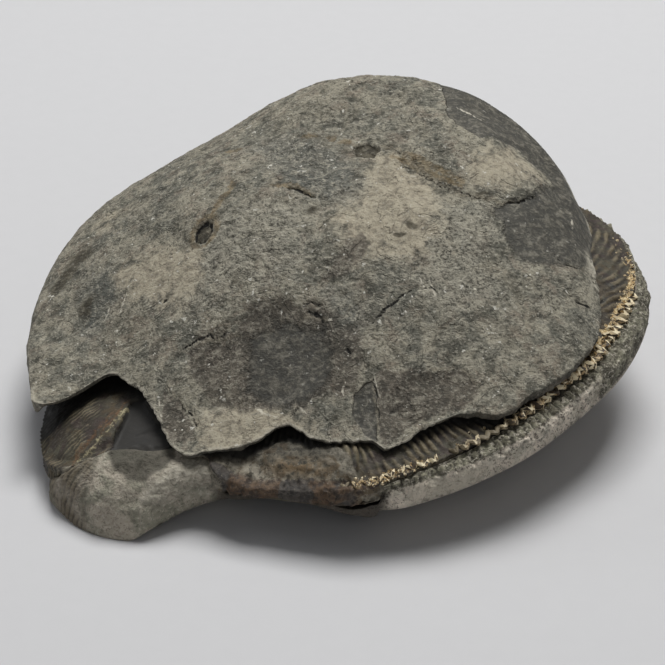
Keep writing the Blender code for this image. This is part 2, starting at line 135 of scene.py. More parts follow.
def polar(x, y, centre):
    return np.arctan2(y - centre[1], x - centre[0]), np.hypot(x - centre[0], y - centre[1])


def between(angle, low, high, soft=4.0):
    """1 for angles in degrees between low and high, with soft ends."""
    return ease(angle, low - soft, low + soft) * (1.0 - ease(angle, high - soft, high + soft))


# %% Noise and painting helpers
FIELD_REACH = 3.0  # painted distances are kept up to this many mm, or borders


def grain(x, y, z, spacing, seed, octaves=3):
    """Fractal noise of about -1 to 1, with features as large as spacing."""
    rows = zip(x / spacing + seed, y / spacing, z / spacing)
    return np.asarray([noise.fractal(Vector(row), 0.9, 2.1, octaves) for row in rows])


def line_distance(x, y, points):
    """Distance to a line of points, how far along it (0 to 1), and on which side (-1 or 1)."""
    best = np.full(x.shape, 1e9)
    along = np.zeros(x.shape)
    side = np.ones(x.shape)
    lengths = [math.dist(a, b) for a, b in zip(points, points[1:])]
    total = sum(lengths)
    walked = 0.0
    for (ax, ay), (bx, by), length in zip(points, points[1:], lengths):
        dx, dy = (bx - ax) / length, (by - ay) / length
        t = np.clip((x - ax) * dx + (y - ay) * dy, 0.0, length)
        away = np.hypot(x - ax - t * dx, y - ay - t * dy)
        nearer = away < best
        best = np.where(nearer, away, best)
        along = np.where(nearer, (walked + t) / total, along)
        turn = (y - ay) * dx - (x - ax) * dy
        side = np.where(nearer, np.where(turn > 0, 1.0, -1.0), side)
        walked += length
    return best, along, side


def depth_inside(x, y, points):
    """Distance in mm to a closed outline, positive inside it."""
    closed = list(points) + [points[0]]
    away, _, _ = line_distance(x, y, closed)
    inside = np.zeros(x.shape, bool)
    for (ax, ay), (bx, by) in zip(closed, closed[1:]):
        if ay != by:
            crosses = (ay > y) != (by > y)
            inside ^= crosses & (x < (bx - ax) * (y - ay) / (by - ay) + ax)
    return np.where(inside, away, -away)


def patch(x, y, points, soft):
    """1 inside a closed outline of points, falling to 0 across a soft border."""
    return ease(depth_inside(x, y, points), -soft, soft)


def deepest(x, y, outlines, border):
    """How deep a point lies in the outline that holds it best, in borders."""
    least = np.full(x.shape, -FIELD_REACH)
    return np.max([least] + [depth_inside(x, y, points) / border for points in outlines], axis=0)


def outside_line(x, y, points, width):
    """Distance in mm from a line's drawn width, which thins towards its ends; negative inside."""
    away, along, _ = line_distance(x, y, points)
    return away - width * np.sqrt(np.clip(4.0 * along * (1.0 - along), 0.0, 1.0))


def nearest(x, y, lines, width):
    """Distance in mm from the drawn width of the nearest line."""
    most = np.full(x.shape, FIELD_REACH)
    return np.min([most] + [outside_line(x, y, points, width) for points in lines], axis=0)


def stroke(x, y, points, width):
    """1 on a line of points, thinning towards its ends."""
    away, along, _ = line_distance(x, y, points)
    reach = width * (0.25 + 0.75 * np.sqrt(np.clip(4.0 * along * (1.0 - along), 0.0, 1.0)))
    return np.exp(-(away / reach) ** 2)


def spot(x, y, middle, size):
    return np.exp(-((x - middle[0]) / size[0]) ** 2 - ((y - middle[1]) / size[1]) ** 2)


def step_up(x, y, points, fade):
    """1 just left of a line of points, falling away over fade, 0 right of it: a small ledge."""
    away, along, side = line_distance(x, y, points)
    ends = np.sqrt(np.clip(4.0 * along * (1.0 - along), 0.0, 1.0))
    return np.where(side > 0, np.exp(-(away / fade) ** 2), 0.0) * ends


# %% [markdown]
# ## The fossil's form
# The coil lies in a plane that rises to the right, through the keel on its rim. An outline is a
# handful of points round a centre, joined by a smooth closed curve, so it holds only what its
# shape needs. The flank is a height over the plane that depends on the distance inward from the
# rim: steep at the keel, and rounder at the left end. The solid has the same form, so the dense
# mesh fills the same space.

# %% Sizes of the fossil
COIL_CENTRE = (3.0, 11.0)  # turns round the coil are read from here
KEEL_PLANE = (10.2, 0.16, 0.06)  # height at KEEL_FRONT, rise per mm in X, in Y
KEEL_FRONT = (4.5, -28.4)
COIL_OUTLINE = [
    (45.8, 12.5), (45.6, 20.0), (44.2, 26.4), (41.4, 32.6), (36.2, 38.8), (27.6, 43.0),
    (17.0, 45.8), (5.0, 47.2), (-8.0, 45.8), (-20.0, 41.5), (-30.0, 34.0), (-37.0, 24.5),
    (-40.8, 14.0), (-42.4, 4.0), (-42.9, -3.0), (-42.4, -9.0), (-40.8, -14.6), (-38.3, -18.0),
    (-35.0, -17.8), (-31.5, -16.6), (-25.0, -17.6), (-21.6, -17.0), (-18.0, -19.2), (-14.2, -22.4),
    (-10.0, -24.8), (-4.4, -26.7), (1.0, -27.8), (4.6, -27.6), (10.2, -25.8), (16.8, -22.9),
    (21.0, -20.5), (26.2, -16.4), (32.5, -10.2), (36.0, -7.2), (40.0, -1.6), (43.0, 5.2),
]
# The least height of the flank, by the turn in degrees.
EDGE_HEIGHT = {0: 0.2, 60: 0.2, 120: 0.2, 180: 0.3, 205: 0.3, 212: 1.6, 219: 3.3, 228: 3.4,
               236: 2.6, 244: 0.9, 252: 0.3, 300: 0.2}
KEELED_FLANK = (4.8, 9.0, 1.35)  # height, distance that it takes, roundness
ROUNDED_FLANK = (5.6, 5.2, 0.9)
WHORL_DEPTH = 6.6  # below the keel's plane
RIM_THINNING = 0.58  # share of that depth that is lost at the rim
RIM_TURN = 2.4  # how far inward the thinning reaches
SHALLOW_MIDDLE = (-9.0, -22.0)  # the whorl is shallow over the arch
SHALLOW_SIZE = (13.0, 9.0)
SHALLOW_SHARE = 0.55
LOWEST_SHELL = 2.4  # nothing of the fossil lies below this

# %% Form of the fossil
def keel_height(x, y):
    return KEEL_PLANE[0] + KEEL_PLANE[1] * (x - KEEL_FRONT[0]) + KEEL_PLANE[2] * (y - KEEL_FRONT[1])


def coil_edge(theta):
    return outline_radius(COIL_OUTLINE, COIL_CENTRE, theta)


def left_end(theta):
    """1 at the rounded left end of the last whorl, 0 where the rim has its keel."""
    angle = turn_of(theta)
    return ease(angle, 165.0, 190.0) * (1.0 - ease(angle, 214.0, 245.0))


def flank(inward, theta):
    depth = np.clip(inward, 0.0, None)
    keeled, rounded = (
        height * (1.0 - np.exp(-(depth / reach) ** roundness))
        for height, reach, roundness in (KEELED_FLANK, ROUNDED_FLANK)
    )
    share = left_end(theta)
    return np.maximum(keeled * (1.0 - share) + rounded * share, table_curve(EDGE_HEIGHT, theta))


def coil_top(x, y):
    theta, radius = polar(x, y, COIL_CENTRE)
    return keel_height(x, y) + flank(coil_edge(theta) - radius, theta)


def coil_bottom(x, y):
    theta, radius = polar(x, y, COIL_CENTRE)
    inward = np.clip(coil_edge(theta) - radius, 0.0, None)
    depth = WHORL_DEPTH * (1.0 - RIM_THINNING * np.exp(-inward / RIM_TURN))
    depth = depth * (1.0 - SHALLOW_SHARE * spot(x, y, SHALLOW_MIDDLE, SHALLOW_SIZE))
    softness = 1.5
    low = keel_height(x, y) - depth
    return LOWEST_SHELL + np.log1p(np.exp((low - LOWEST_SHELL) * softness)) / softness


# %% [markdown]
# ## The lid's form
# The crown is a low dome whose foot and bulge change with the angle, cut by two flat facets and
# two shallow scars where flakes came away. Below, the lid follows the fossil at a small distance,
# with a hollow under its front left corner. Round the whole back its wall leans in; along the
# broken front it ends in a thin edge.

# %% Sizes of the lid
LID_CLEARANCE = 1.2  # split between the fossil and the lid
THIN_EDGE = 0.8  # lid's thickness along its broken edge
LID_CENTRE = (-3.3, 18.2)  # middle of the dome
CROWN_HEIGHT = 34.9
CROWN_ROUNDNESS = 2.27  # powers of the dome's curve
CROWN_SLOPE = 0.917
CROWN_FOOT = (19.4, 3.8, 7.1)  # height of the foot, and how it tilts in X and Y
# The dome's radius and its bulge, at equal steps round it.
CROWN_RADIUS = [43.3, 42.0, 36.0, 33.2, 33.2, 38.6, 42.2, 47.6, 51.3, 49.1, 49.8, 48.9]
CROWN_SWELL = [4.8, 8.5, 6.8, 0.5, -3.8, -10.8, -9.5, -4.2]
# A facet is a point and its rise in X and Y; a scar is a middle, size, turn and depth.
FACETS = [((26.1, 23.8, 36.7), -0.60, -0.06), ((29.0, 14.0, 33.0), -0.72, 0.12)]
SCARS = [(-10.0, -9.3, 10.8, 6.4, 5.0, 0.7), (14.0, -16.2, 7.0, 3.2, 12.0, 0.6)]
LUMPINESS = 0.35  # mm of unevenness, and how far apart its lumps are
LUMP_SPACING = 9.0
WALL_DROP = 2.4  # of the shoulder round the unbroken back
SHOULDER_START = 0.84  # share of the way out
UNDERCUT = 3.0  # how far the wall leans in at the back
EDGE_BEVEL = 0.4  # and everywhere
LID_EDGE = {0: 42.9, 5: 42.9, 8: 41.5, 16: 41.0, 30: 40.0, 45: 37.6, 60: 34.8, 75: 33.4, 90: 33.0,
            105: 32.8, 120: 33.2, 135: 35.6, 150: 38.4, 165: 40.6, 180: 42.2, 195: 44.0, 201: 44.9,
            208: 46.5, 213.3: 47.8, 214.7: 47.3, 215.9: 41.6, 216.6: 38.4, 219: 36.7, 221.5: 36.6,
            227.5: 36.4, 232.6: 37.4, 237.5: 39.2, 242.6: 41.6, 246: 42.4, 249.5: 41.2, 256: 39.8,
            260: 38.4, 264.4: 36.6, 267: 37.1, 271.5: 39.1, 277: 40.2, 282.6: 41.0, 284.4: 42.8,
            287.2: 42.5, 292.4: 42.1, 297: 42.0, 302.5: 43.6, 305.5: 45.4, 308.2: 46.1,
            311.5: 45.9, 315.2: 46.6, 318.9: 47.1, 324: 47.4, 329.7: 47.4, 334.7: 46.7,
            342.3: 44.8, 347.5: 43.4, 354.4: 42.5}
# Hollows in the lid's underside: a deep one at its left corner, a slight one at its front.
CAVE_MIDDLE = (-35.0, -6.0)
CAVE_REACH = 9.0
CAVE_HEIGHT = 8.0
GAPE_MIDDLE = (-9.0, -19.0)
GAPE_REACH = 8.0
GAPE_HEIGHT = 1.1

# %% Form of the lid
def lid_edge(theta):
    return table_curve(LID_EDGE, theta)


def unevenness(x, y):
    seed = 3.1
    rows = zip(x / LUMP_SPACING, y / LUMP_SPACING)
    return 1.6 * np.asarray([noise.noise(Vector((a, b, seed))) for a, b in rows])


def crown(x, y):
    theta, distance = polar(x, y, LID_CENTRE)
    part = np.clip(distance / wave_curve(CROWN_RADIUS, theta), 0.0, 1.0)
    foot = CROWN_FOOT[0] + CROWN_FOOT[1] * np.cos(theta) + CROWN_FOOT[2] * np.sin(theta)
    dome = foot + (CROWN_HEIGHT - foot) * (1.0 - part ** CROWN_ROUNDNESS) ** CROWN_SLOPE
    height = dome + wave_curve(CROWN_SWELL, theta) * 4.0 * part ** 2 * (1.0 - part ** 2)
    for (px, py, pz), rise_x, rise_y in FACETS:
        height = np.minimum(height, pz + rise_x * (x - px) + rise_y * (y - py))
    for px, py, length, width, turn, depth in SCARS:
        c, s = math.cos(math.radians(turn)), math.sin(math.radians(turn))
        along = ((x - px) * c + (y - py) * s) / length
        across = ((y - py) * c - (x - px) * s) / width
        height = height - depth * (1.0 - ease(np.hypot(along, across), 0.8, 1.1))
    return height + LUMPINESS * unevenness(x, y)


def whole_side(theta):
    """1 round the back and left of the lid, 0 along its broken front and right."""
    angle = turn_of(theta)
    return ease(angle, 20.0, 60.0) * (1.0 - ease(angle, 188.0, 214.0))


def lid_underside(x, y):
    away = (x - CAVE_MIDDLE[0]) ** 2 + (y - CAVE_MIDDLE[1]) ** 2
    hollow = CAVE_HEIGHT * np.exp(-(away / CAVE_REACH ** 2) ** 1.5)
    gape = GAPE_HEIGHT * spot(x, y, GAPE_MIDDLE, (GAPE_REACH, GAPE_REACH))
    return np.minimum(coil_top(x, y) + LID_CLEARANCE + hollow + gape, crown(x, y) - THIN_EDGE)


# %% [markdown]
# ## The form of the stone below
# A bowl follows the fossil's underside, a rounded rim stands beside the keel, and a lump and a
# thin bridge of stone close the nodule at the front left, over a hollow arch. The belly is flat in
# the middle, where the nodule rests.

# %% Sizes of the stone below
CLEARANCE = 0.7  # split between the fossil and the bowl
BASE_OUTLINE = [
    (48.0, 12.0), (47.2, 19.0), (45.8, 26.0), (42.4, 33.0), (36.8, 39.6), (28.6, 44.6),
    (18.0, 48.2), (5.0, 49.8), (-8.5, 48.4), (-21.0, 44.0), (-31.5, 36.0), (-38.4, 26.0),
    (-40.6, 14.0), (-41.0, 4.0), (-41.0, -3.0), (-40.8, -9.0), (-40.8, -14.4), (-40.0, -18.6),
    (-36.8, -22.2), (-34.0, -24.4), (-31.0, -25.7), (-26.2, -26.0), (-20.9, -23.1), (-16.6, -22.1),
    (-13.6, -22.3), (-10.0, -22.0), (-4.0, -23.4), (0.0, -24.8), (3.5, -26.9), (7.0, -27.7),
    (10.5, -27.5), (14.7, -26.3), (21.7, -23.4), (27.2, -20.2), (31.4, -16.7), (36.0, -12.1),
    (41.0, -6.2), (44.7, 0.3), (47.0, 6.5),
]
LIP_OVER_KEEL = -0.3  # heights from the keel's plane
RIM_UNDER_KEEL = -2.7
RIM_ROUNDNESS = 2.2
EDGE_FACE = 0.4  # upright part of the rim
FOOT_UNDER_FOSSIL = 1.3
BOWL_GAP = 0.05  # from the fossil's edge to the bowl's edge
LIP_GAP = 0.10  # and to the lip
BOWL_INSIDE = 0.5  # both stay this far inside the outline
LIP_INSIDE = 0.25
BOWL_RELIEF = 1.3  # the bowl is this much deeper beside the rim
LUMP_START = 209.0  # turns of the lump's and the bridge's ends
BRIDGE_END = 246.0
LUMP_LIP = {205: 2.5, 211: 3.2, 214: 4.6, 217: 7.6, 219: 8.8, 228: 9.5, 236: 9.3, 243: 8.6,
            249: 7.6}
LUMP_FOOT = {205: 2.2, 212: 1.4, 217: 0.6, 222: 0.0, 229.5: 0.0, 234.5: 3.8, 239: 5.8, 244: 6.6,
             250: 6.2}
BELLY_REACH = 0.42  # flat share of the belly
BELLY_ROUNDNESS = (2.0, 0.75)
FLOOR_LEFT = 0.9  # least thickness under the bowl
ARCH_MIDDLE = (-8.5, -20.5)
ARCH_SIZE = (12.5, 9.5)
ARCH_HEIGHT = 7.0
ARCH_FADE = 0.6
BOWL_END = 0.80  # shares of the way out, from bowl to lip
LIP_START = 0.82

# %% Form of the stone below
def base_edge(theta):
    return outline_radius(BASE_OUTLINE, COIL_CENTRE, theta)


def lump_share(theta):
    angle = turn_of(theta)
    return between(angle, LUMP_START, BRIDGE_END, 2.5)


def stands_beside(theta):
    """1 where this stone shows beside the fossil's edge, 0 where it ends under the fossil."""
    return ease(base_edge(theta) - coil_edge(theta), 0.3, 0.9)


def base_foot(theta, x, y):
    under_fossil = coil_bottom(x, y) - FOOT_UNDER_FOSSIL
    beside_fossil = keel_height(x, y) + RIM_UNDER_KEEL
    beside = stands_beside(theta)
    plain = under_fossil * (1.0 - beside) + beside_fossil * beside
    share = lump_share(theta)
    return np.maximum(plain * (1.0 - share) + table_curve(LUMP_FOOT, theta) * share, 0.0)


def rim_part(distance):
    """0 at the lip and inside it, 1 at the foot of the rim."""
    return np.clip((distance - LIP_START) / (1.0 - LIP_START), 0.0, 1.0)


def base_radius(theta, distance):
    edge = base_edge(theta)
    bowl_end = np.minimum(coil_edge(theta) + BOWL_GAP, edge - BOWL_INSIDE)
    lip = np.minimum(coil_edge(theta) + LIP_GAP, edge - LIP_INSIDE)
    in_bowl = distance <= BOWL_END + 1e-6
    over_rim = lip + (edge - lip) * rim_part(distance)
    return np.where(in_bowl, bowl_end * distance / BOWL_END, over_rim)


def base_top(x, y, theta, distance):
    deeper = BOWL_RELIEF * ease(distance, 0.55, 0.72) * stands_beside(theta)
    bowl = coil_bottom(x, y) - CLEARANCE - deeper
    share = lump_share(theta)
    lip = (keel_height(x, y) + LIP_OVER_KEEL) * (1.0 - share) + table_curve(LUMP_LIP, theta) * share
    foot = base_foot(theta, x, y) + EDGE_FACE
    left = np.clip(1.0 - rim_part(distance) ** RIM_ROUNDNESS, 0.0, 1.0)
    rounded = foot + (lip - foot) * np.sqrt(left)
    weight = np.where(distance > BOWL_END + 1e-6, stands_beside(theta), 0.0)
    return bowl * (1.0 - weight) + rounded * weight


def base_underside(x, y, theta, distance):
    t = np.clip((distance - BELLY_REACH) / (1.0 - BELLY_REACH), 0.0, 1.0)
    turn_up, turn_in = BELLY_ROUNDNESS
    bowl = base_foot(theta, x, y) * (1.0 - (1.0 - t ** turn_up) ** turn_in)
    across = ((x - ARCH_MIDDLE[0]) / ARCH_SIZE[0]) ** 2 + ((y - ARCH_MIDDLE[1]) / ARCH_SIZE[1]) ** 2
    arch = ARCH_HEIGHT * np.exp(-across ** 2) - ARCH_FADE
    ceiling = coil_bottom(x, y) - CLEARANCE - FLOOR_LEFT
    return np.clip(np.maximum(bowl, arch), 0.0, np.maximum(ceiling, 0.0))


# %% [markdown]
# ## A mesh that is fine where it is seen
# Each side of a piece is a disc: a square of cells in the middle, so that no pole pinches the
# surface, and rings of sectors round it. A ring may have twice the sectors of the one inside it,
# which keeps the cells about as wide as they are long. Two discs and a wall of a few rows make one
# closed body.

# %% Discs
MIDDLE_BEND = 0.55
ROUND_BY = 0.24  # rings are round this far past the middle square


def bent_square(gx, gy):
    """A square with its sides bowed outward, so that its corners are blunt."""
    outer = np.maximum(np.maximum(np.abs(gx), np.abs(gy)), 1e-9)
    px = gx * (1.0 - MIDDLE_BEND + MIDDLE_BEND * np.cos(np.pi / 4 * gy / outer))
    py = gy * (1.0 - MIDDLE_BEND + MIDDLE_BEND * np.cos(np.pi / 4 * gx / outer))
    return np.arctan2(py, px), np.hypot(px, py)


def disc_points(cells, reach, rings):
    """Angle and distance (0 to 1) of the points: a middle square of cells, then rings."""
    line = np.linspace(-1.0, 1.0, cells + 1)
    gx, gy = np.meshgrid(line, line, indexing="ij")
    square_theta, square_distance = bent_square(gx.ravel(), gy.ravel())
    theta = [square_theta]
    distance = [reach * square_distance]
    for per_side, place in rings:
        step = np.linspace(-1.0, 1.0, per_side + 1)[:-1]
        side_theta, side_distance = bent_square(np.ones(per_side), step)
        squareness = max(0.0, 1.0 - (place - reach) / ROUND_BY)
        turn = side_theta * squareness + step * (math.pi / 4) * (1.0 - squareness)
        out = place * (1.0 + squareness * (side_distance - 1.0))
        for quarter in range(4):
            theta.append(turn + quarter * math.pi / 2)
            distance.append(out)
    return np.concatenate(theta), np.concatenate(distance)


def disc_faces(cells, rings):
    """Faces of the disc, counterclockwise from above, and its outermost loop."""
    number = np.arange((cells + 1) ** 2).reshape(cells + 1, cells + 1)
    corners = [number[:-1, :-1], number[1:, :-1], number[1:, 1:], number[:-1, 1:]]
    faces = np.stack([c.ravel() for c in corners], axis=1).tolist()
    loop = list(number[cells, :cells]) + list(number[cells:0:-1, cells])
    loop += list(number[0, cells:0:-1]) + list(number[:cells, 0])
    start = (cells + 1) ** 2
    for per_side, _ in rings:
        ring = list(range(start, start + 4 * per_side))
        start += len(ring)
        n, m = len(loop), len(ring)
        for k in range(n):
            a, b = loop[k], loop[(k + 1) % n]
            if m == n:
                faces.append((a, ring[k], ring[(k + 1) % m], b))
            else:
                c, d, e = ring[2 * k], ring[2 * k + 1], ring[(2 * k + 2) % m]
                faces.extend([(a, c, d), (a, d, b), (b, d, e)])
        loop = ring
    return faces, loop


def bands_of(first, *bands):
    """Rings after the place first; a band is (sectors per side, its last place, how many)."""
    made = []
    for per_side, last, count in bands:
        made += [(per_side, float(p)) for p in np.linspace(first, last, count + 1)[1:]]
        first = last
    return made


def spread(theta, distance, edge, centre, bend_from=0.25):
    """Places points of the unit disc in an outline: round in the middle, the outline outside."""
    mean = float(np.mean(edge(np.linspace(0.0, 2.0 * math.pi, 73)[:-1])))
    share = ease(distance, bend_from, 0.97)
    radius = distance * (mean * (1.0 - share) + edge(theta) * share)
    return centre[0] + radius * np.cos(theta), centre[1] + radius * np.sin(theta)


# %% Points, fields and objects
def from_polar(theta, radius, centre):
    return centre[0] + radius * np.cos(theta), centre[1] + radius * np.sin(theta)


def in_metres(points):
    """Drawing millimetres as places in Blender's metres."""
    return (points - np.array([*FOOTPRINT_MIDDLE, 0.0])) * METRES_PER_MM


def write_fields(mesh, fields):
    """Stores painted values on the mesh's points."""
    for key, values in fields.items():
        layer = mesh.attributes.new(key, "FLOAT", "POINT")
        layer.data.foreach_set("value", np.ascontiguousarray(values, dtype=np.float32))


def add_object(name, data):
    made = bpy.data.objects.new(name, data)
    bpy.context.scene.collection.objects.link(made)
    return made


# %% One closed body from two discs and a wall
def disc_side(cells, reach, rings, place):
    """Points, faces and outermost loop of one side; place turns angle and distance into x, y, z."""
    points = np.stack(place(*disc_points(cells, reach, rings)), axis=1)
    faces, loop = disc_faces(cells, rings)
    return points, faces, np.asarray(loop)


def closed_body(name, top, bottom, rows, bulge, painted):
    """A mesh from two sides and rows of a wall, bulged by bulge(points, share), with its fields."""
    top_points, top_faces, top_loop = top
    low_points, low_faces, low_loop = bottom
    low_start, count = len(top_points), len(top_loop)
    row_start = low_start + len(low_points)
    upper, lower = top_points[top_loop], low_points[low_loop]
    shares = [k / (rows + 1) for k in range(1, rows + 1)]
    wall = [bulge(upper * (1.0 - share) + lower * share, share) for share in shares]
    points = np.concatenate([top_points, low_points, *wall])
    loops = [top_loop, *(row_start + k * count + np.arange(count) for k in range(rows))]
    loops.append(low_start + low_loop)
    faces = [tuple(f) for f in top_faces]
    faces += [tuple(low_start + i for i in reversed(f)) for f in low_faces]
    for above, below in zip(loops, loops[1:]):
        quads = np.stack([np.roll(above, -1), above, below, np.roll(below, -1)], axis=1)
        faces += [tuple(q) for q in quads.tolist()]
    mesh = bpy.data.meshes.new(name)
    mesh.from_pydata(in_metres(points).tolist(), [], faces)
    mesh.shade_smooth()
    write_fields(mesh, painted(points, low_start, row_start))
    mesh.validate()
    print(f"{name}: {len(points)} points, {sum(len(f) - 2 for f in faces)} triangles")
    return add_object(name, mesh)


# %% [markdown]
# ## The lid's accidents
# The lid is weathered mudstone. Where a flake came off lately the break is dark, smooth and
# slightly sunken. Old skin is buff and smooth, and between the two the grain is coarse and bluish.
# Cracks are thin dark lines, and ochre stains follow some of them. Every place is given in drawing
# millimetres.

# %% Breaks and scars of the lid
DARK_BREAKS = {  # outline, border, depth
    "front flake": ([
        (-10.6, -5.6), (-8.2, -5.1), (-4.6, -5.9), (-1.1, -6.4), (0.0, -9.4), (0.0, -12.3),
        (-1.5, -15.0), (-4.1, -15.7), (-7.1, -15.7), (-9.9, -14.5), (-11.6, -12.5), (-12.1, -9.4),
        (-11.7, -7.1)], 1.1, 0.12),
    "top break": ([
        (16.7, 36.5), (17.4, 31.0), (17.7, 28.2), (19.0, 26.4), (20.9, 24.9), (22.2, 23.8),
        (25.4, 24.8), (28.8, 26.2), (31.6, 23.6), (34.4, 21.6), (44.0, 21.0), (40.0, 40.0),
        (17.0, 44.0)], 0.22, 0.25),
    "right break": ([
        (23.4, 11.6), (25.4, 12.3), (29.9, 15.2), (32.6, 20.7), (35.0, 22.2), (41.0, 21.0),
        (42.0, 9.5), (38.5, 8.5), (35.5, 5.9), (32.0, 4.7), (28.6, 3.6), (26.5, 4.2), (25.1, 6.3),
        (24.5, 9.0)], 0.8, 0.05),
    "chip": ([(5.5, -13.3), (4.1, -14.1), (3.1, -15.5), (2.7, -17.1), (3.3, -18.6), (4.6, -20.2),
              (6.3, -21.5), (6.3, -18.2)], 0.18, 0.35),
}
BROWN_SCARS = {  # outline, border
    "front right": ([
        (5.8, -13.4), (8.8, -12.7), (13.1, -12.5), (17.6, -12.2), (19.1, -12.8), (20.2, -14.3),
        (20.5, -15.9), (17.4, -17.3), (12.8, -18.9), (6.9, -22.6)], 0.35),
    "front left": ([
        (-24.1, -9.8), (-24.5, -11.8), (-25.0, -14.6), (-23.4, -17.4), (-20.8, -17.9),
        (-19.2, -16.7), (-21.7, -11.6)], 0.3),
    "round the dark flake": ([
        (-20.8, -5.5), (-18.3, -5.3), (-13.8, -5.5), (-13.2, -3.4), (-10.2, -2.2), (-6.9, -2.4),
        (-4.2, -3.6), (-1.4, -4.3), (0.8, -5.9), (0.8, -12.7), (-1.0, -15.4), (-4.5, -16.3),
        (-8.8, -15.5), (-13.0, -15.2), (-15.6, -13.6), (-18.8, -10.8), (-20.3, -8.4)], 0.8),
    "right of the dark flake": ([
        (0.8, -5.9), (3.6, -7.6), (4.4, -10.8), (3.0, -14.6), (0.4, -15.4), (-0.6, -12.6)], 1.1),
    "middle streak": ([
        (-1.2, -0.6), (0.7, 2.0), (2.4, 4.1), (4.4, 4.9), (5.8, 3.6), (3.4, 0.7),
        (1.3, -0.8)], 0.6),
    "by the rim": ([
        (33.6, 23.0), (37.0, 22.6), (40.0, 18.0), (40.0, 14.0), (37.6, 13.6), (36.0, 17.0),
        (34.4, 19.8)], 0.5),
}

# %% [markdown]
# ## The lid's skins
# Between the breaks, the old surface changes slowly: buff clay skin, coarse crumbs, blue-grey
# stone. These are washes with wide and very uneven borders, so a few points are enough for each.
# Two small pits and some dark spots are kept apart, because they are sharp.

# %% Skins, spots and pits of the lid
BUFF_SKIN = {
    "middle": [(6.4, 21.8), (9.4, 20.8), (11.8, 18.1), (14.7, 14.9), (16.0, 11.0), (14.6, 5.6),
               (11.5, 2.2), (6.0, 2.6), (1.4, 4.6), (-0.6, 7.4), (2.8, 9.8), (4.8, 14.3)],
    "right": [(20.5, 19.0), (24.0, 22.3), (27.2, 24.2), (30.0, 23.3), (30.9, 21.5), (27.1, 16.1),
              (23.3, 14.4), (19.6, 15.7)],
    "left": [(-32.0, 12.0), (-25.0, 12.5), (-20.0, 8.0), (-18.5, 2.5), (-23.0, 1.0), (-28.0, 4.5),
             (-31.5, 8.0)],
    "far left": [(-37.4, 26.0), (-33.6, 27.6), (-32.6, 25.0), (-35.0, 23.2)],
    "front lip": [
        (-18.0, -13.5), (-12.0, -14.8), (-6.0, -16.6), (-2.5, -17.5), (-6.5, -20.5),
        (-12.5, -22.0), (-18.5, -20.5)],
}
COARSE_GRAIN = {
    "back crumbs": [
        (-14.1, 27.6), (-10.9, 29.2), (-5.0, 26.3), (-2.2, 23.9), (-1.6, 19.3), (-4.9, 18.2),
        (-10.6, 21.3), (-13.3, 24.0)],
    "blue patch": [(-2.0, 16.3), (1.9, 16.8), (5.0, 15.0), (4.0, 11.7), (0.4, 10.7), (-2.1, 12.8)],
    "right crumbs": [
        (14.2, 11.8), (19.0, 12.4), (23.8, 12.1), (24.5, 9.0), (22.2, 4.0), (24.0, -3.0),
        (15.0, -6.0), (12.0, 0.0), (14.5, 8.5)],
    "left crumbs": [
        (-18.0, 12.0), (-8.0, 14.0), (-3.0, 8.0), (-6.0, 0.0), (-16.0, -2.0), (-21.0, 4.0)],
    "below the crack": [(-1.4, -3.2), (3.0, -3.2), (4.4, -6.6), (2.2, -8.8), (-0.8, -7.6)],
}
GREY_STONE = {
    "behind": [(-11.0, 28.0), (-5.0, 28.4), (0.5, 24.0), (4.4, 18.5), (3.6, 13.0), (-1.0, 11.5),
               (-6.0, 14.5), (-9.0, 20.0)],
    "below the crack": COARSE_GRAIN["below the crack"],
    "left": [(-38.0, 12.5), (-33.5, 14.0), (-32.0, 8.0), (-34.0, 3.0), (-37.5, 4.0)],
}
# Dark spots: middle and size.
STAINS = [((-38.9, 19.6), (2.6, 2.0)), ((-40.6, 17.4), (2.0, 1.8)), ((-42.0, 15.4), (1.6, 1.6)),
          ((-37.0, 8.0), (1.6, 2.4)), ((-12.9, 37.9), (0.9, 0.5)), ((-3.3, 9.4), (1.0, 1.0)),
          ((11.4, 7.2), (1.4, 0.8)), ((9.8, 5.4), (0.9, 0.5)), ((8.6, 22.6), (1.2, 0.5)),
          ((10.2, 19.5), (1.0, 0.4)), ((17.3, 15.7), (1.1, 0.4)), ((22.5, 13.4), (1.8, 0.4))]
RING_PIT = ((-18.9, 11.0), 1.5)  # middle and radius of a round pit
RING_PIT_SQUEEZE = 0.86  # it is a little longer in Y
BACK_PIT = [(3.0, 23.9), (5.6, 24.3), (7.2, 22.4), (6.2, 20.6), (3.6, 21.4)]
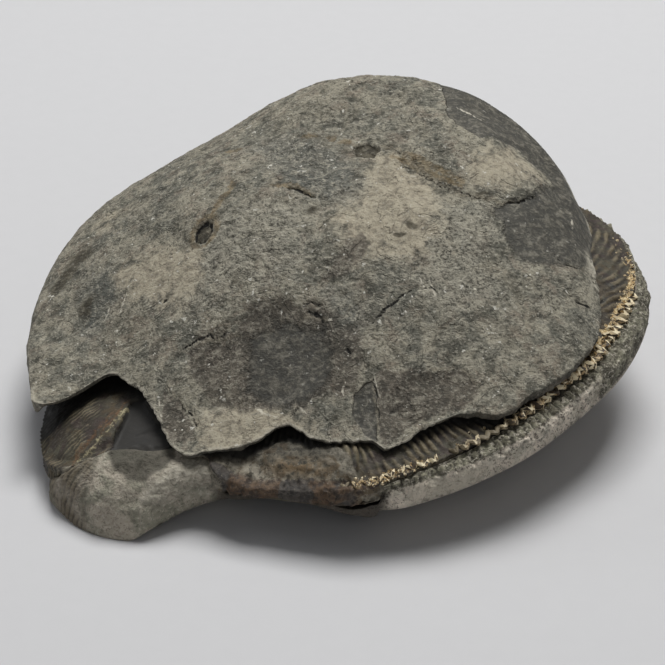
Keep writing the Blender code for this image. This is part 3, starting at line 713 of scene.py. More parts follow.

# %% [markdown]
# ## Lines on the lid
# A crack is a groove and a dark line, a ledge is a small step with a painted highlight along its
# edge, and scratches and ochre seams are colour alone. Each is a line of points, so its course can
# follow the breaks.

# %% Lines on the lid
CRACKS = [  # points, width, depth
    ([(-7.0, 14.7), (-5.1, 13.9), (-3.6, 12.7), (-2.4, 12.0)], 0.16, 0.35),
    ([(25.6, 12.9), (27.7, 13.8), (30.0, 15.4)], 0.17, 0.35),
    ([(32.2, 6.7), (33.1, 5.8), (34.1, 5.4), (36.3, 6.2)], 0.1, 0.2),
    ([(35.0, -0.2), (36.3, -0.1), (37.5, 0.4)], 0.1, 0.25),
    ([(-21.6, -5.2), (-21.0, -4.9), (-19.0, -4.7), (-17.6, -4.6), (-16.6, -4.9)], 0.15, 0.25),
    ([(-16.6, -4.9), (-15.2, -4.8), (-13.8, -5.6)], 0.1, 0.2),
    ([(-4.4, -3.7), (-2.9, -3.5), (-0.9, -4.1)], 0.1, 0.2),
    ([(-3.7, -4.3), (-2.6, -4.6), (-1.5, -5.1), (-1.0, -5.8)], 0.14, 0.3),
    ([(5.6, -6.8), (6.9, -5.4), (8.9, -4.0), (10.6, -2.8), (11.6, -2.3)], 0.14, 0.3),
    ([(11.9, -2.2), (13.9, -1.9), (15.2, -2.7)], 0.06, 0.15),
    ([(1.9, -9.8), (2.8, -10.5)], 0.14, 0.25),
    ([(9.3, 19.0), (11.6, 18.3), (13.7, 16.7), (15.9, 14.9), (18.1, 13.7),
      (22.5, 12.7)], 0.05, 0.1),
    ([(-6.1, -17.1), (-4.7, -16.1)], 0.12, 0.25),
    ([(-24.9, 2.8), (-24.1, 3.2)], 0.14, 0.2),
    ([(5.6, -13.3), (6.0, -14.7), (6.4, -16.2)], 0.07, 0.2),
    ([(-21.9, -11.7), (-20.0, -13.9), (-18.8, -15.9)], 0.09, 0.2),
]
LEDGES = [  # points with the high side on their left, height, fade
    ([(29.9, 15.2), (25.0, 12.7), (18.5, 13.4), (13.7, 16.8), (10.0, 21.8),
      (7.2, 23.1)], -0.45, 2.6),
    ([(-18.2, -16.6), (-19.4, -14.5), (-21.7, -11.6), (-23.9, -9.4)], -0.4, 1.6),
    ([(-11.0, -6.2), (-13.2, -5.5), (-16.8, -5.1), (-20.5, -5.1)], -0.3, 1.8),
    ([(-0.4, -5.6), (-2.5, -4.8), (-4.6, -5.0)], -0.25, 1.2),
    ([(-7.0, 15.3), (-5.1, 14.5), (-3.6, 13.3), (-2.2, 12.5)], 0.15, 0.8),
    ([(6.4, -21.6), (6.2, -18.2), (5.8, -15.6), (5.5, -13.3)], -0.3, 1.6),
    ([(20.5, -15.9), (20.2, -14.3), (19.1, -12.8), (17.6, -12.2), (13.1, -12.5)], -0.28, 1.6),
]
PALE_SCRATCHES = [
    [(1.8, -13.7), (1.4, -14.6), (1.6, -15.5)], [(-11.0, -14.5), (-9.7, -16.2), (-7.3, -17.0)],
    [(-4.7, -16.0), (-3.4, -17.2)], [(5.9, -13.4), (6.3, -15.2), (6.8, -16.4)],
    [(35.6, 17.8), (35.9, 15.3), (35.7, 13.0)], [(-30.5, 7.5), (-31.0, 5.8), (-31.5, 4.2)],
    [(-33.1, 6.4), (-33.9, 4.7)], [(18.8, 31.4), (21.0, 29.6), (23.3, 29.0)],
    [(-24.7, -10.8), (-24.6, -11.8)], [(-24.3, -12.9), (-24.1, -13.7)],
    [(-0.6, -5.5), (-0.1, -5.9)], [(0.0, -6.9), (0.3, -7.2)], [(-31.1, -0.3), (-30.7, -0.5)],
    [(12.4, -0.5), (13.4, -2.2)], [(13.8, -1.2), (14.8, -3.2)], [(20.1, -1.4), (20.6, -1.5)],
]
OCHRE_LINES = [
    [(-18.0, 13.1), (-16.9, 15.2), (-15.3, 17.2), (-15.0, 19.7)], [(-4.4, 27.4), (-2.4, 26.9)],
    [(-0.8, 26.5), (0.5, 26.2)], [(1.1, 25.4), (2.5, 25.1)], [(-16.4, 29.2), (-14.0, 27.8)],
    [(8.6, 20.6), (11.0, 19.6), (13.9, 17.6), (16.0, 15.9), (19.0, 14.4)],
    [(10.0, 21.2), (13.0, 19.6), (16.0, 17.4), (19.5, 15.0)],
    [(-9.0, 15.6), (-7.0, 15.2), (-5.1, 14.4), (-3.0, 12.4)],
]

# %% [markdown]
# ## Painting the lid
# Every mark is worked out at every point of the dense mesh. The outlines are read through noise,
# which makes their borders wander like real breaks. The same marks then press the surface in, or
# roughen it where stone crumbles.

# %% Paint the lid
def lid_paint(x, y, z):
    """What happened to the lid at each point. Marks are distances past their outlines, so that the
    material can draw an edge sharper than a cell; washes are 0 to 1; relief is in mm."""
    wobbly = [c + 0.7 * grain(x, y, z, 2.6, seed, 4) for c, seed in ((x, 11.0), (y, 47.0))]
    far = [c + 2.4 * (w - c) for c, w in zip((x, y), wobbly)]
    near = [c + 0.22 * grain(x, y, z, 0.9, seed, 3) for c, seed in ((x, 71.0), (y, 83.0))]
    relief = np.zeros(x.shape)
    dark = np.full(x.shape, -FIELD_REACH)
    for outline, border, depth in DARK_BREAKS.values():
        inside = deepest(*wobbly, [outline], border)
        dark = np.maximum(dark, inside)
        relief -= depth * ease(inside, -1.0, 1.0)
    scars = [deepest(*wobbly, [outline], border) for outline, border in BROWN_SCARS.values()]
    scar = np.max(scars, axis=0)
    buff = deepest(*far, BUFF_SKIN.values(), 1.6)
    coarse = deepest(*far, COARSE_GRAIN.values(), 2.0)
    stain = np.max([spot(*wobbly, middle, size) for middle, size in STAINS], axis=0)
    crack = np.full(x.shape, FIELD_REACH)
    for line, width, depth in CRACKS:
        gap = nearest(*near, [line], width)
        crack = np.minimum(crack, gap)
        relief -= depth * (1.0 - ease(gap, -0.1, 0.25))
    for line, height, fade in LEDGES:
        relief += height * step_up(*near, line, fade)
    (pit_x, pit_y), pit_radius = RING_PIT
    ring = np.hypot(near[0] - pit_x, (near[1] - pit_y) * RING_PIT_SQUEEZE) / pit_radius
    pit = 1.0 - ease(ring, 0.8, 1.05)
    halo = pit_radius * np.abs(ring - 1.25) - 0.15
    groove = pit_radius * np.abs(ring - 0.8) - 0.12
    back_pit = patch(*near, BACK_PIT, 0.25)
    relief -= 0.7 * pit * (1.0 - 0.45 * np.exp(-(ring / 0.5) ** 2)) + 0.6 * back_pit
    broken, torn = ease(dark, -1.0, 1.0), ease(scar, -1.0, 1.0)
    smooth = np.maximum(broken, 0.6 * torn)
    rough = (0.55 + 0.8 * ease(coarse, -1.0, 1.0)) * (1.0 - 0.75 * smooth)
    rough = rough * (1.0 - 0.35 * ease(buff, -1.0, 1.0))
    relief += rough * (0.20 * grain(x, y, z, 1.5, 5.0, 3) + 0.13 * grain(x, y, z, 0.6, 29.0, 2))
    relief += 0.26 * grain(x, y, z, 5.0, 17.0, 2) * (1.0 - 0.5 * smooth)
    flaking = grain(x, y, z, 11.0, 91.0, 4) * 3.2
    terrace = np.floor(flaking) + ease(flaking - np.floor(flaking), 0.86, 1.0)
    relief += 0.16 * (terrace - flaking) * (1.0 - smooth)
    return {
        "dark": dark, "scar": scar, "buff": buff, "coarse": coarse,
        "grey": deepest(*far, GREY_STONE.values(), 2.0),
        "crack": np.minimum(crack, groove),
        "ledge": nearest(*near, [line for line, _, _ in LEDGES], 0.1),
        "scratch": nearest(*near, PALE_SCRATCHES, 0.12),
        "ochre": np.minimum(nearest(*near, OCHRE_LINES, 0.3), halo),
        # dark spots, and the two pits darkened with them
        "stain": np.maximum(np.maximum(stain, pit), back_pit),
        "relief": relief,
    }


# %% [markdown]
# ## The lid's mesh
# The crown is a dense disc. Its outline keeps the solid's shape, with a finer tooth along the
# broken front, and the thickness at that edge is a thin wall; a pale line along it is a painted
# highlight. The edge sinks a little towards the fossil where the gap between them is narrow on the
# real stone.

# %% The lid's edge
LID_RINGS = bands_of(0.34, (120, 0.62, 44), (240, 1.0, 46))
LID_UNDER_RINGS = bands_of(0.30, (60, 0.90, 14), (120, 0.97, 4), (240, 1.0, 2))
LID_WALL_ROWS = 6
TOOTH_DEPTH = 0.28  # mm
# How far the edge sinks towards the fossil, in mm, by the turn.
EDGE_DROP = {0: 0.3, 12: 0.0, 180: 0.0, 196: 0.0, 203: 0.9, 211: 1.1, 214: 0.6, 217: 0.0, 283: 0.0,
             287: 0.35, 300: 0.4, 307: 0.7, 345: 0.7}


def toothed_lid_edge(theta):
    """The lid's edge with a fine tooth where it is broken; the tooth only cuts inward."""
    plain = lid_edge(theta)
    x = plain * np.cos(theta)
    y = plain * np.sin(theta)
    tooth = np.clip(0.5 + grain(x, y, 0.0 * x, 1.1, 3.0, 3), 0.0, 1.2)
    return plain - TOOTH_DEPTH * (1.0 - whole_side(theta)) * tooth


def lid_under_edge(theta):
    corner = between(turn_of(theta), 190.0, 216.0)
    lean = EDGE_BEVEL + UNDERCUT * whole_side(theta) * (1.0 - 0.9 * corner)
    return toothed_lid_edge(theta) - lean


def rough_wall(points, share):
    """Uneven broken wall, never further out than the ruled one."""
    x, y, z = points.T
    theta, _ = polar(x, y, LID_CENTRE)
    belly = 1.2 * math.sin(math.pi * share) + 0.25 * grain(x, y, z, 2.4, 9.0, 3)
    push = whole_side(theta) * belly * (1.0 - share)
    return points + np.stack([push * np.cos(theta), push * np.sin(theta), 0.0 * z], axis=1)


# %% Build the lid
lid_marks = {}


def lid_crown(theta, distance):
    """Places of the crown's points; the marks there are kept for the material."""
    x, y = spread(theta, distance, toothed_lid_edge, LID_CENTRE, 0.55)
    turn = np.clip((distance - SHOULDER_START) / (1.0 - SHOULDER_START), 0.0, 1.0)
    height = crown(x, y) - WALL_DROP * whole_side(theta) * (1.0 - np.sqrt(1.0 - turn ** 2))
    lid_marks.update(lid_paint(x, y, height))
    broken = 1.0 - whole_side(theta)
    angle = turn_of(theta)
    # rim: a painted highlight along the broken edge
    lid_marks["rim"] = ease(distance, 0.985, 0.998) * broken * (1.0 - between(angle, 290.0, 360.0))
    lid_marks["rim"] += ease(distance, 0.962, 0.982) * between(angle, 342.0, 350.0, 1.5)
    at_edge = ease(distance, 0.90, 1.0)
    calmed = np.minimum(lid_marks["relief"] * (1.0 - 0.6 * at_edge * broken), 0.3)
    return x, y, height - table_curve(EDGE_DROP, theta) * at_edge ** 2 + calmed


def lid_belly(theta, distance):
    x, y = spread(theta, distance, lid_under_edge, LID_CENTRE, 0.55)
    return x, y, lid_underside(x, y)


def lid_painted(points, low_start, row_start):
    """Attributes of every point: the crown's own, and painted shade below and on the front wall."""
    blank = {key: -FIELD_REACH for key in ("dark", "scar", "buff", "coarse", "grey")}
    blank |= {key: FIELD_REACH for key in ("crack", "ledge", "ochre", "scratch")}
    blank |= {key: 0.0 for key in ("stain", "rim", "hidden")}
    made = {key: np.full(len(points), elsewhere) for key, elsewhere in blank.items()}
    for key in blank.keys() - {"hidden"}:
        made[key][:low_start] = np.clip(lid_marks[key], -FIELD_REACH, FIELD_REACH)
    theta, _ = polar(points[row_start:, 0], points[row_start:, 1], LID_CENTRE)
    # painted shade: all of the underside, and the front of the wall
    made["hidden"][low_start:row_start] = 1.0
    made["hidden"][row_start:] = 0.8 * between(turn_of(theta), 215.0, 350.0)
    return made


lid = closed_body(
    "lid_stone",
    disc_side(120, 0.34, LID_RINGS, lid_crown),
    disc_side(60, 0.30, LID_UNDER_RINGS, lid_belly),
    LID_WALL_ROWS, rough_wall, lid_painted,
)

# %% [markdown]
# ## The fossil's mesh
# Only the outer band of the whorl shows, so its rings crowd towards the rim. The mesh starts
# smooth and carries what the ribs need as attributes: the turn round the coil, which leans with
# the distance from the rim, and how strongly a rib or a fine growth line stands there. Geometry
# Nodes raise them next. What changes along the rim is a table: a turn round the coil in degrees,
# and the value there.

# %% Places on the fossil
# How far the ribs lean, in degrees per mm inward.
LEAN_ROUND = {0: 1.25, 40: 1.2, 180: 0.0, 262: 0.5, 280: 0.62, 320: 0.75, 345: 1.15}
WIDE_RIBS_FROM = 336.0  # past this turn the ribs stand twice as far apart
# The flat break at the left: its outline, three places on its plane, and its depth.
STONE_FILL = [(-29.2, -7.9), (-27.2, -7.8), (-25.6, -11.6), (-21.4, -16.6), (-21.6, -18.8),
              (-26.5, -18.6), (-31.7, -17.2), (-31.0, -13.6), (-30.0, -11.0)]
FILL_CORNERS = np.array([(-28.2, -8.2), (-22.4, -16.6), (-30.6, -15.2)])
FILL_DEPTH = 0.55
GOLD_LINE = [(-29.4, -8.8), (-30.2, -10.4), (-31.5, -12.3), (-32.4, -13.7), (-33.9, -15.2),
             (-35.6, -16.3), (-36.4, -18.2)]
RUST_LINES = [[(-29.6, -7.4), (-31.2, -10.4), (-33.1, -13.2)],
              [(-31.6, -9.4), (-34.0, -12.8), (-35.9, -15.6)],
              [(-33.4, -12.0), (-36.0, -15.0), (-37.0, -18.0)]]
# How much gold is left on the keel, 0 to 1.
GOLD_ROUND = {0: 0.8, 6: 0.75, 12: 0.5, 18: 0.2, 25: 0.12, 45: 0.05, 180: 0.0, 262: 0.0, 268: 0.25,
              272: 0.75, 280: 0.7, 286: 0.6, 291: 0.3, 296: 0.45, 301: 0.2, 306: 0.5, 311: 0.8,
              316: 0.95, 330: 1.0, 345: 1.0, 355: 0.9}
# How far inward the crust reaches, in mm.
CRUST_ROUND = {0: -3.0, 210: -3.0, 215: 0.6, 219: 1.6, 226: 2.0, 232: 3.0, 240: 3.6, 244: 4.2,
               248: 5.2, 252: 7.0, 258: 6.8, 264: 6.6, 269: 4.0, 272: 0.0, 276: -3.0}
# How far inward the bare layered wall reaches, and how rusty it is.
BARE_ROUND = {0: 0.0, 238: 0.0, 242: 0.6, 248: 1.0, 255: 1.5, 262: 1.7, 268: 1.5, 272: 0.5,
              276: 0.0}
RUST_ROUND = {0: 0.0, 241: 0.0, 244: 1.0, 253.5: 1.0, 254.6: 0.1, 261: 0.1, 262.3: 0.7, 272: 0.6,
              276: 0.0}
# How far the front wall bulges at its top and half way down, and how far it droops, in mm.
TOP_BULGE = {0: 0.0, 236: 0.0, 238.5: 1.1, 240.5: 1.5, 244: 1.1, 249: 0.8, 255: 0.5, 262: 0.3,
             268: 0.0}
WALL_BULGE = {0: 0.0, 236: 0.0, 240: 1.2, 244: 1.1, 252: 0.5, 262: 0.3, 268: 0.4, 274: 0.3,
              280: 0.0}
WALL_DROOP = {0: 0.0, 237: 0.0, 240: 1.0, 243: 0.8, 247: 0.0, 265: 0.0, 269: 1.0, 273: 1.6,
              277: 0.9, 280: 0.0}
WALL_HOLLOW = 0.30  # mm, where nothing bulges
WALL_CRACKS = ((254.4, 1.6), (261.8, -0.6), (265.9, 0.9))  # turn, and its lean per mm of height

# %% Shape the fossil
COIL_RINGS = bands_of(0.34, (38, 0.58, 5), (76, 0.68, 4), (152, 0.76, 6), (304, 1.0, 40))
COIL_UNDER_RINGS = bands_of(0.34, (38, 0.66, 6), (76, 0.82, 5), (152, 0.94, 5), (304, 1.0, 5))
COIL_WALL_ROWS = 11


def coil_place(height):
    """Places of one side's points; the pale stone that bridges the break stands out a little."""
    def place(theta, distance):
        x, y = spread(theta, distance, coil_edge, COIL_CENTRE, 0.5)
        z = height(x, y)
        around, radius = polar(x, y, COIL_CENTRE)
        near_edge = 1.0 - ease(coil_edge(around) - radius, 0.0, 2.2)
        out = table_curve(TOP_BULGE, around) * near_edge * ease(z, 6.5, 8.0)
        return x + out * np.cos(around), y + out * np.sin(around), z
    return place


def fill_plane(x, y):
    """The flat break through the stone that fills the shell, through three corners of the flank."""
    heights = coil_top(*FILL_CORNERS.T) - FILL_DEPTH
    plane = np.linalg.solve(np.column_stack([FILL_CORNERS, np.ones(3)]), heights)
    return plane[0] * x + plane[1] * y + plane[2]


def worn_top(x, y):
    """Flank with a ridge of crust at the front, and broken down to its stone fill at the left."""
    z = coil_top(x, y)
    fill = ease(depth_inside(x + 0.2 * grain(x, y, z, 1.6, 21.0, 2), y, STONE_FILL), -0.15, 0.3)
    low = np.minimum(z - 0.15, fill_plane(x, y))
    theta, radius = polar(x, y, COIL_CENTRE)
    inward = coil_edge(theta) - radius
    crusty = ease(table_curve(CRUST_ROUND, theta) - 1.2, 0.0, 1.5)
    ridge = crusty * between(turn_of(theta), 232.0, 272.0) * np.exp(-((inward - 4.2) / 2.4) ** 2)
    return (z + ridge) * (1.0 - fill) + low * fill


def coil_wall(points, share):
    """The upright side of the whorl: hollow all round, bulging and drooping at the front."""
    theta, _ = polar(points[:, 0], points[:, 1], COIL_CENTRE)
    middle = math.sin(math.pi * share)
    pull = (WALL_HOLLOW - table_curve(WALL_BULGE, theta)) * middle
    droop = table_curve(WALL_DROOP, theta) * middle * share
    return points - np.stack([pull * np.cos(theta), pull * np.sin(theta), droop], axis=1)


def rib_turn(theta, inward):
    """The turn that the ribs read; it runs slower where they stand further apart."""
    angle = (np.degrees(theta) + 180.0) % 360.0 + 180.0
    past = np.clip(angle - WIDE_RIBS_FROM, 0.0, 75.0)
    lean = table_curve(LEAN_ROUND, theta) * np.clip(inward, 0.0, 14.0)
    return np.radians(angle - 0.5 * past + lean)


# %% [markdown]
# ## What the fossil's skin is made of
# Five skins meet on the whorl: ribbed shell, gold on the keel, a crust of stone, the bare layered
# wall at the front, and the smooth stone that fills the shell. Each is a signed distance, so a
# later one can be cut by an earlier one, and the material frays their borders.

# %% Skins of the fossil
class Points:
    """The points of a piece: where they lie round the coil, and on which of its sides."""

    def __init__(self, points, low_start, row_start):
        self.x, self.y, self.z = points.T
        self.theta, radius = polar(self.x, self.y, COIL_CENTRE)
        self.angle = turn_of(self.theta)
        self.inward = coil_edge(self.theta) - radius
        number = np.arange(len(points))
        self.top, self.wall = number < low_start, number >= row_start

    def grain(self, spacing, seed, octaves=3):
        return grain(self.x, self.y, self.z, spacing, seed, octaves)

    def on_top(self, values, elsewhere=0.0):
        return np.where(self.top, values, elsewhere)


def coil_skins(p, fine, coarse):
    """How deep a point lies in the bare wall and in the crust, in mm, and how crusted it is."""
    bare = p.on_top(table_curve(BARE_ROUND, p.theta) - p.inward, -FIELD_REACH)
    bare = np.where(p.wall, 1.0, bare)
    bare = np.where(p.wall & (p.angle > 210.0) & (p.angle < 244.0), 0.4 * (p.angle - 241.5), bare)
    bare = np.where(p.wall, bare - 1.8 * between(p.angle, 272.0, 295.0), bare)
    reach = table_curve(CRUST_ROUND, p.theta)
    crust = p.on_top(np.minimum(reach - p.inward, -bare), -FIELD_REACH)
    stony = 1.6 * between(p.angle, 271.0, 292.0) - 0.8
    crust = np.where(p.wall, np.maximum(np.minimum(reach, -bare), stony), crust)
    return bare, crust, ease(crust + 1.0 * coarse + 0.6 * fine, -0.4, 0.5)


# %% [markdown]
# ## The fossil's relief
# Crust is coarse, shell is finely pitted, and the stone fill is nearly smooth. Ribs stand on a
# band beside the rim and on the rim itself; growth lines stand at the left end. Both are worn away
# in patches, or buried under crust.

# %% Relief and ribs of the fossil
def coil_relief(p, fine, crusted, filled, gold):
    """Roughness in mm, where it can be seen."""
    relief = crusted * (0.15 + 0.40 * p.grain(2.2, 23.0) + 0.20 * p.grain(0.6, 27.0, 2))
    pitted = 0.14 * fine + 0.12 * p.grain(0.5, 37.0, 2)
    relief += (1.0 - crusted) * (1.0 - 0.85 * filled) * pitted
    streaks = grain(p.x, 2.5 * p.y, p.z, 2.4, 47.0, 2)
    relief += 0.30 * p.on_top(between(p.angle, 342.0, 390.0)) * streaks
    relief += gold * 0.22 * p.grain(0.6, 43.0, 2)
    edge = np.where(p.wall, 1.0, p.on_top(1.0 - ease(p.inward, 0.5, 2.5)))
    edge = between(p.angle, 240.0, 285.0) * edge
    relief += edge * (0.45 * p.grain(2.2, 83.0) + 0.25 * fine)
    return relief * np.where(p.wall, 1.0, p.on_top(1.0 - ease(p.inward, 14.0, 17.0)))


def coil_ribs(p, coarse, crusted, filled):
    """What the ribs need: the turn that they read, and how strongly ribs and lines stand."""
    worn = np.clip(0.75 + 1.1 * coarse, 0.1, 1.2)
    ends = left_end(p.theta)
    band = ease(p.inward, 0.5, 1.6) * (1.0 - ease(p.inward, 7.0, 12.0))
    rib_reach = band * (1.0 - ends) * (1.0 - crusted) * worn
    rim_reach = 0.6 * between(p.angle, 262.0, 300.0) * (1.0 - crusted) * p.wall
    left = ends * ease(-(p.x + 30.6 + 0.55 * (p.y + 12.0)), -1.0, 1.0)
    line_reach = left * (1.0 - filled) * (1.0 - 0.8 * crusted) * worn
    end_reach = 0.9 * ends * (1.0 - crusted) * p.wall
    return {
        "around": rib_turn(p.theta, p.inward) + 0.009 * p.grain(3.0, 77.0, 2),
        "rib_reach": p.on_top(rib_reach, rim_reach),
        "line_reach": p.on_top(line_reach, end_reach),
    }


# %% [markdown]
# ## The fossil's stains and painted shade
# Gold and rust run in thin lines where the shell is torn, and cracks part the front wall into
# slabs. The rest are soft washes: painted shade under the lid's edge, a darker inner crust, pale
# and tan patches on the crust, and the browner shell at the right.

# %% Lines and washes on the fossil
def coil_lines(p, fine, coarse, bare):
    """Distances in mm from the gold, rust and crack lines."""
    bent = 1.5 * coarse
    cracks = [abs(p.angle - turn - lean * (p.z - 8.0) - bent) for turn, lean in WALL_CRACKS]
    cracks = np.min(cracks, axis=0) * math.radians(40.0)
    line = outside_line(p.x + 0.35 * fine, p.y + 0.6 * coarse, GOLD_LINE, 0.34)
    line = line + 0.5 * p.grain(1.3, 81.0, 2)
    return {
        "gold_line": p.on_top(line, FIELD_REACH),
        "rust": p.on_top(nearest(p.x + 0.3 * fine, p.y, RUST_LINES, 0.30), FIELD_REACH),
        "wall_crack": np.where(bare > -0.6, cracks, FIELD_REACH),
    }


def coil_washes(p, fine, coarse):
    lid_theta, lid_distance = polar(p.x, p.y, LID_CENTRE)
    covered = lid_edge(lid_theta) - lid_distance
    # painted shade starts this far under the lid's edge, in mm; below 0 it starts in front of it
    shade_from = 0.8 - 1.4 * between(p.angle, 195.0, 228.0) - 1.3 * between(p.angle, 232.0, 330.0)
    shade_from = shade_from - 1.1 * between(p.angle, 244.0, 262.0)
    inner_crust = 0.5 * ease(p.inward + 0.8 * fine, 3.2, 4.6) * between(p.angle, 238.0, 266.0)
    pale = between(p.angle, 236.0, 252.0) * np.exp(-((p.inward - 1.8) / 1.0) ** 2)
    tan = between(p.angle, 252.0, 264.0) * np.exp(-((p.inward - 3.0) / 1.1) ** 2)
    return {
        "rusty": table_curve(RUST_ROUND, p.theta) + 0.5 * coarse + 0.3 * fine,
        # painted shade under the lid's edge, joined with the darker inner crust
        "deep": p.on_top(np.maximum(ease(covered, shade_from, shade_from + 1.6), inner_crust)),
        "pale": p.on_top(pale),
        "tan": p.on_top(tan),
        "brown": p.on_top(between(p.angle, 340.0, 395.0)),
    }


# %% [markdown]
# ## The painted whorl
# Everything comes together here. Distances are cut off at a few millimetres, so that they stay
# exact near a border, where the material needs them.

# %% Build the fossil
def coil_painted(points, low_start, row_start):
    p = Points(points, low_start, row_start)
    fine, coarse = p.grain(1.1, 41.0), p.grain(4.0, 61.0)
    bare, crust, crusted = coil_skins(p, fine, coarse)
    fill = p.on_top(depth_inside(p.x, p.y, STONE_FILL), -FIELD_REACH)
    filled = ease(fill, -0.1, 0.3)
    golden = table_curve(GOLD_ROUND, p.theta) * (1.0 - ease(p.inward + 0.8 * fine, 1.0, 2.2))
    gold = p.on_top(golden)
    marks = {"fill": fill, "crust": crust, "bare": bare, **coil_lines(p, fine, coarse, bare)}
    return {
        **{key: np.clip(values, -FIELD_REACH, FIELD_REACH) for key, values in marks.items()},
        **coil_ribs(p, coarse, crusted, filled),
        **coil_washes(p, fine, coarse),
        "relief": coil_relief(p, fine, crusted, filled, gold),
        "gold": gold,
    }


whorl = closed_body(
    "fossil_whorl",
    disc_side(38, 0.34, COIL_RINGS, coil_place(worn_top)),
    disc_side(38, 0.34, COIL_UNDER_RINGS, coil_place(coil_bottom)),
    COIL_WALL_ROWS, coil_wall, coil_painted,
)

# %% [markdown]
# ## Node trees, written as expressions
# A shader is arithmetic on fields, and so is a growth rule. One small class wraps a socket so that
# a formula reads like a formula, in materials and in Geometry Nodes alike. Colours are given as
# 0 to 255 values, and turned to linear light once.

# %% A socket that does arithmetic
def operation(kind, swapped=False):
    """A method that adds one Math node after a wire."""
    def apply(wire, *others):
        values = [*others, wire] if swapped else [wire, *others]
        return wire.graph.node("ShaderNodeMath", {"operation": kind}, values)
    return apply


class Wire:
    """An output of a node; + - * and ** on it add Math nodes to the same tree."""

    def __init__(self, graph, socket):
        self.graph = graph
        self.socket = socket

    __add__ = __radd__ = operation("ADD")
    __mul__ = __rmul__ = operation("MULTIPLY")
    __sub__, __rsub__ = operation("SUBTRACT"), operation("SUBTRACT", swapped=True)
    at_most, at_least = operation("MINIMUM"), operation("MAXIMUM")
    fraction, cosine = operation("FRACT"), operation("COSINE")

    def eased(self, low, high):
        """0 at low, 1 at high, smooth between and flat beyond; low may be the higher number."""
        if low > high:
            return 1.0 - self.eased(high, low)
        sockets = {"Value": self, "From Min": low, "From Max": high}
        return self.graph.node("ShaderNodeMapRange", {"interpolation_type": "SMOOTHSTEP"}, sockets)


class Graph:
    """A node tree that is built by calls."""

    def __init__(self, tree):
        self.tree = tree

    def node(self, kind, settings=None, sockets=None, output=0):
        """A node of a kind: its settings first, then values or wires for its sockets."""
        made = self.tree.nodes.new(kind)
        for key, value in (settings or {}).items():
            setattr(made, key, value)
        pairs = sockets.items() if isinstance(sockets, dict) else enumerate(sockets or [])
        for key, value in pairs:
            self.connect(self.find(made.inputs, key), value)
        return Wire(self, self.find(made.outputs, output))

    def find(self, sockets, key):
        """A socket by its number or name, or by its identifier where several share a name."""
        return next((s for s in sockets if s.identifier == key), None) or sockets[key]

    def connect(self, socket, value):
        if isinstance(value, Wire):
            self.tree.links.new(value.socket, socket)
        else:
            socket.default_value = value

    def vector(self, kind, sockets):
        return self.node("ShaderNodeVectorMath", {"operation": kind}, sockets)


def paint(red, green, blue):
    """A colour given as 0 to 255, as linear light."""
    parts = [c / 255.0 for c in (red, green, blue)]
    linear = [c / 12.92 if c <= 0.04045 else ((c + 0.055) / 1.055) ** 2.4 for c in parts]
    return (*linear, 1.0)


# %% A maker for materials
class Maker(Graph):
    """Builds one material, whose colour is laid on coat over coat."""

    def __init__(self, name):
        self.material = bpy.data.materials.new(name)
        self.material.use_nodes = True
        super().__init__(self.material.node_tree)

    def field(self, name):
        """A painted attribute of the mesh."""
        return self.node("ShaderNodeAttribute", {"attribute_name": name}, {}, "Fac")

    def mark(self, name, fray, low, high):
        """A painted attribute with a frayed border, as 0 at low to 1 at high."""
        return (self.field(name) + fray).eased(low, high)

    def noise(self, spacing, detail=3.0, rough=0.55, stretch=(1.0, 1.0, 1.0), warp=0.0):
        """Noise from 0 to 1 with features as large as spacing, in millimetres of the object."""
        where = self.node("ShaderNodeTexCoord", {}, {}, "Object")
        where = self.vector("MULTIPLY", [where, [s / METRES_PER_MM for s in stretch]])
        sockets = {"Vector": where, "Scale": 1.0 / spacing, "Detail": detail, "Roughness": rough,
                   "Distortion": warp}
        return self.node("ShaderNodeTexNoise", {}, sockets, "Fac")

    def stairs(self, level):
        """Flat treads with a short sharp rise between them, one for each whole number of level."""
        part = level.fraction()
        return level - part + part.eased(0.88, 1.0)

    def blend(self, share, first, second):
        """First colour where share is 0, second where it is 1; each is a wire or a paint."""
        first, second = (c if isinstance(c, Wire) else paint(*c) for c in (first, second))
        sockets = {"Factor_Float": share, "A_Color": first, "B_Color": second}
        return self.node("ShaderNodeMix", {"data_type": "RGBA"}, sockets, "Result_Color")

    def coat(self, share, first, second=None, mix=None):
        """Covers the colour so far by share, with one paint or with two that are mixed."""
        over = first if second is None else self.blend(mix, first, second)
        self.colour = self.blend(share, self.colour, over)

    def finish(self, roughness, height, strength, depth_mm):
        """Feeds the shader; the surface's small relief comes from height."""
        sockets = {"Strength": strength, "Distance": depth_mm * METRES_PER_MM, "Height": height}
        normal = self.node("ShaderNodeBump", {}, sockets, "Normal")
        shader = self.tree.nodes["Principled BSDF"]
        fed = {"Base Color": self.colour, "Roughness": roughness, "Normal": normal}
        for key, value in fed.items():
            self.connect(shader.inputs[key], value)
        return self.material


# %% [markdown]
# ## Lid stone
# Weathered limy mudstone: a warm grey ground with bluish and buff clouds, salt-and-pepper grain of
# about half a millimetre, and white crumbs of shell. Fresh breaks are darker, browner and
# smoother, so the grain fades there. The painted attributes say where.

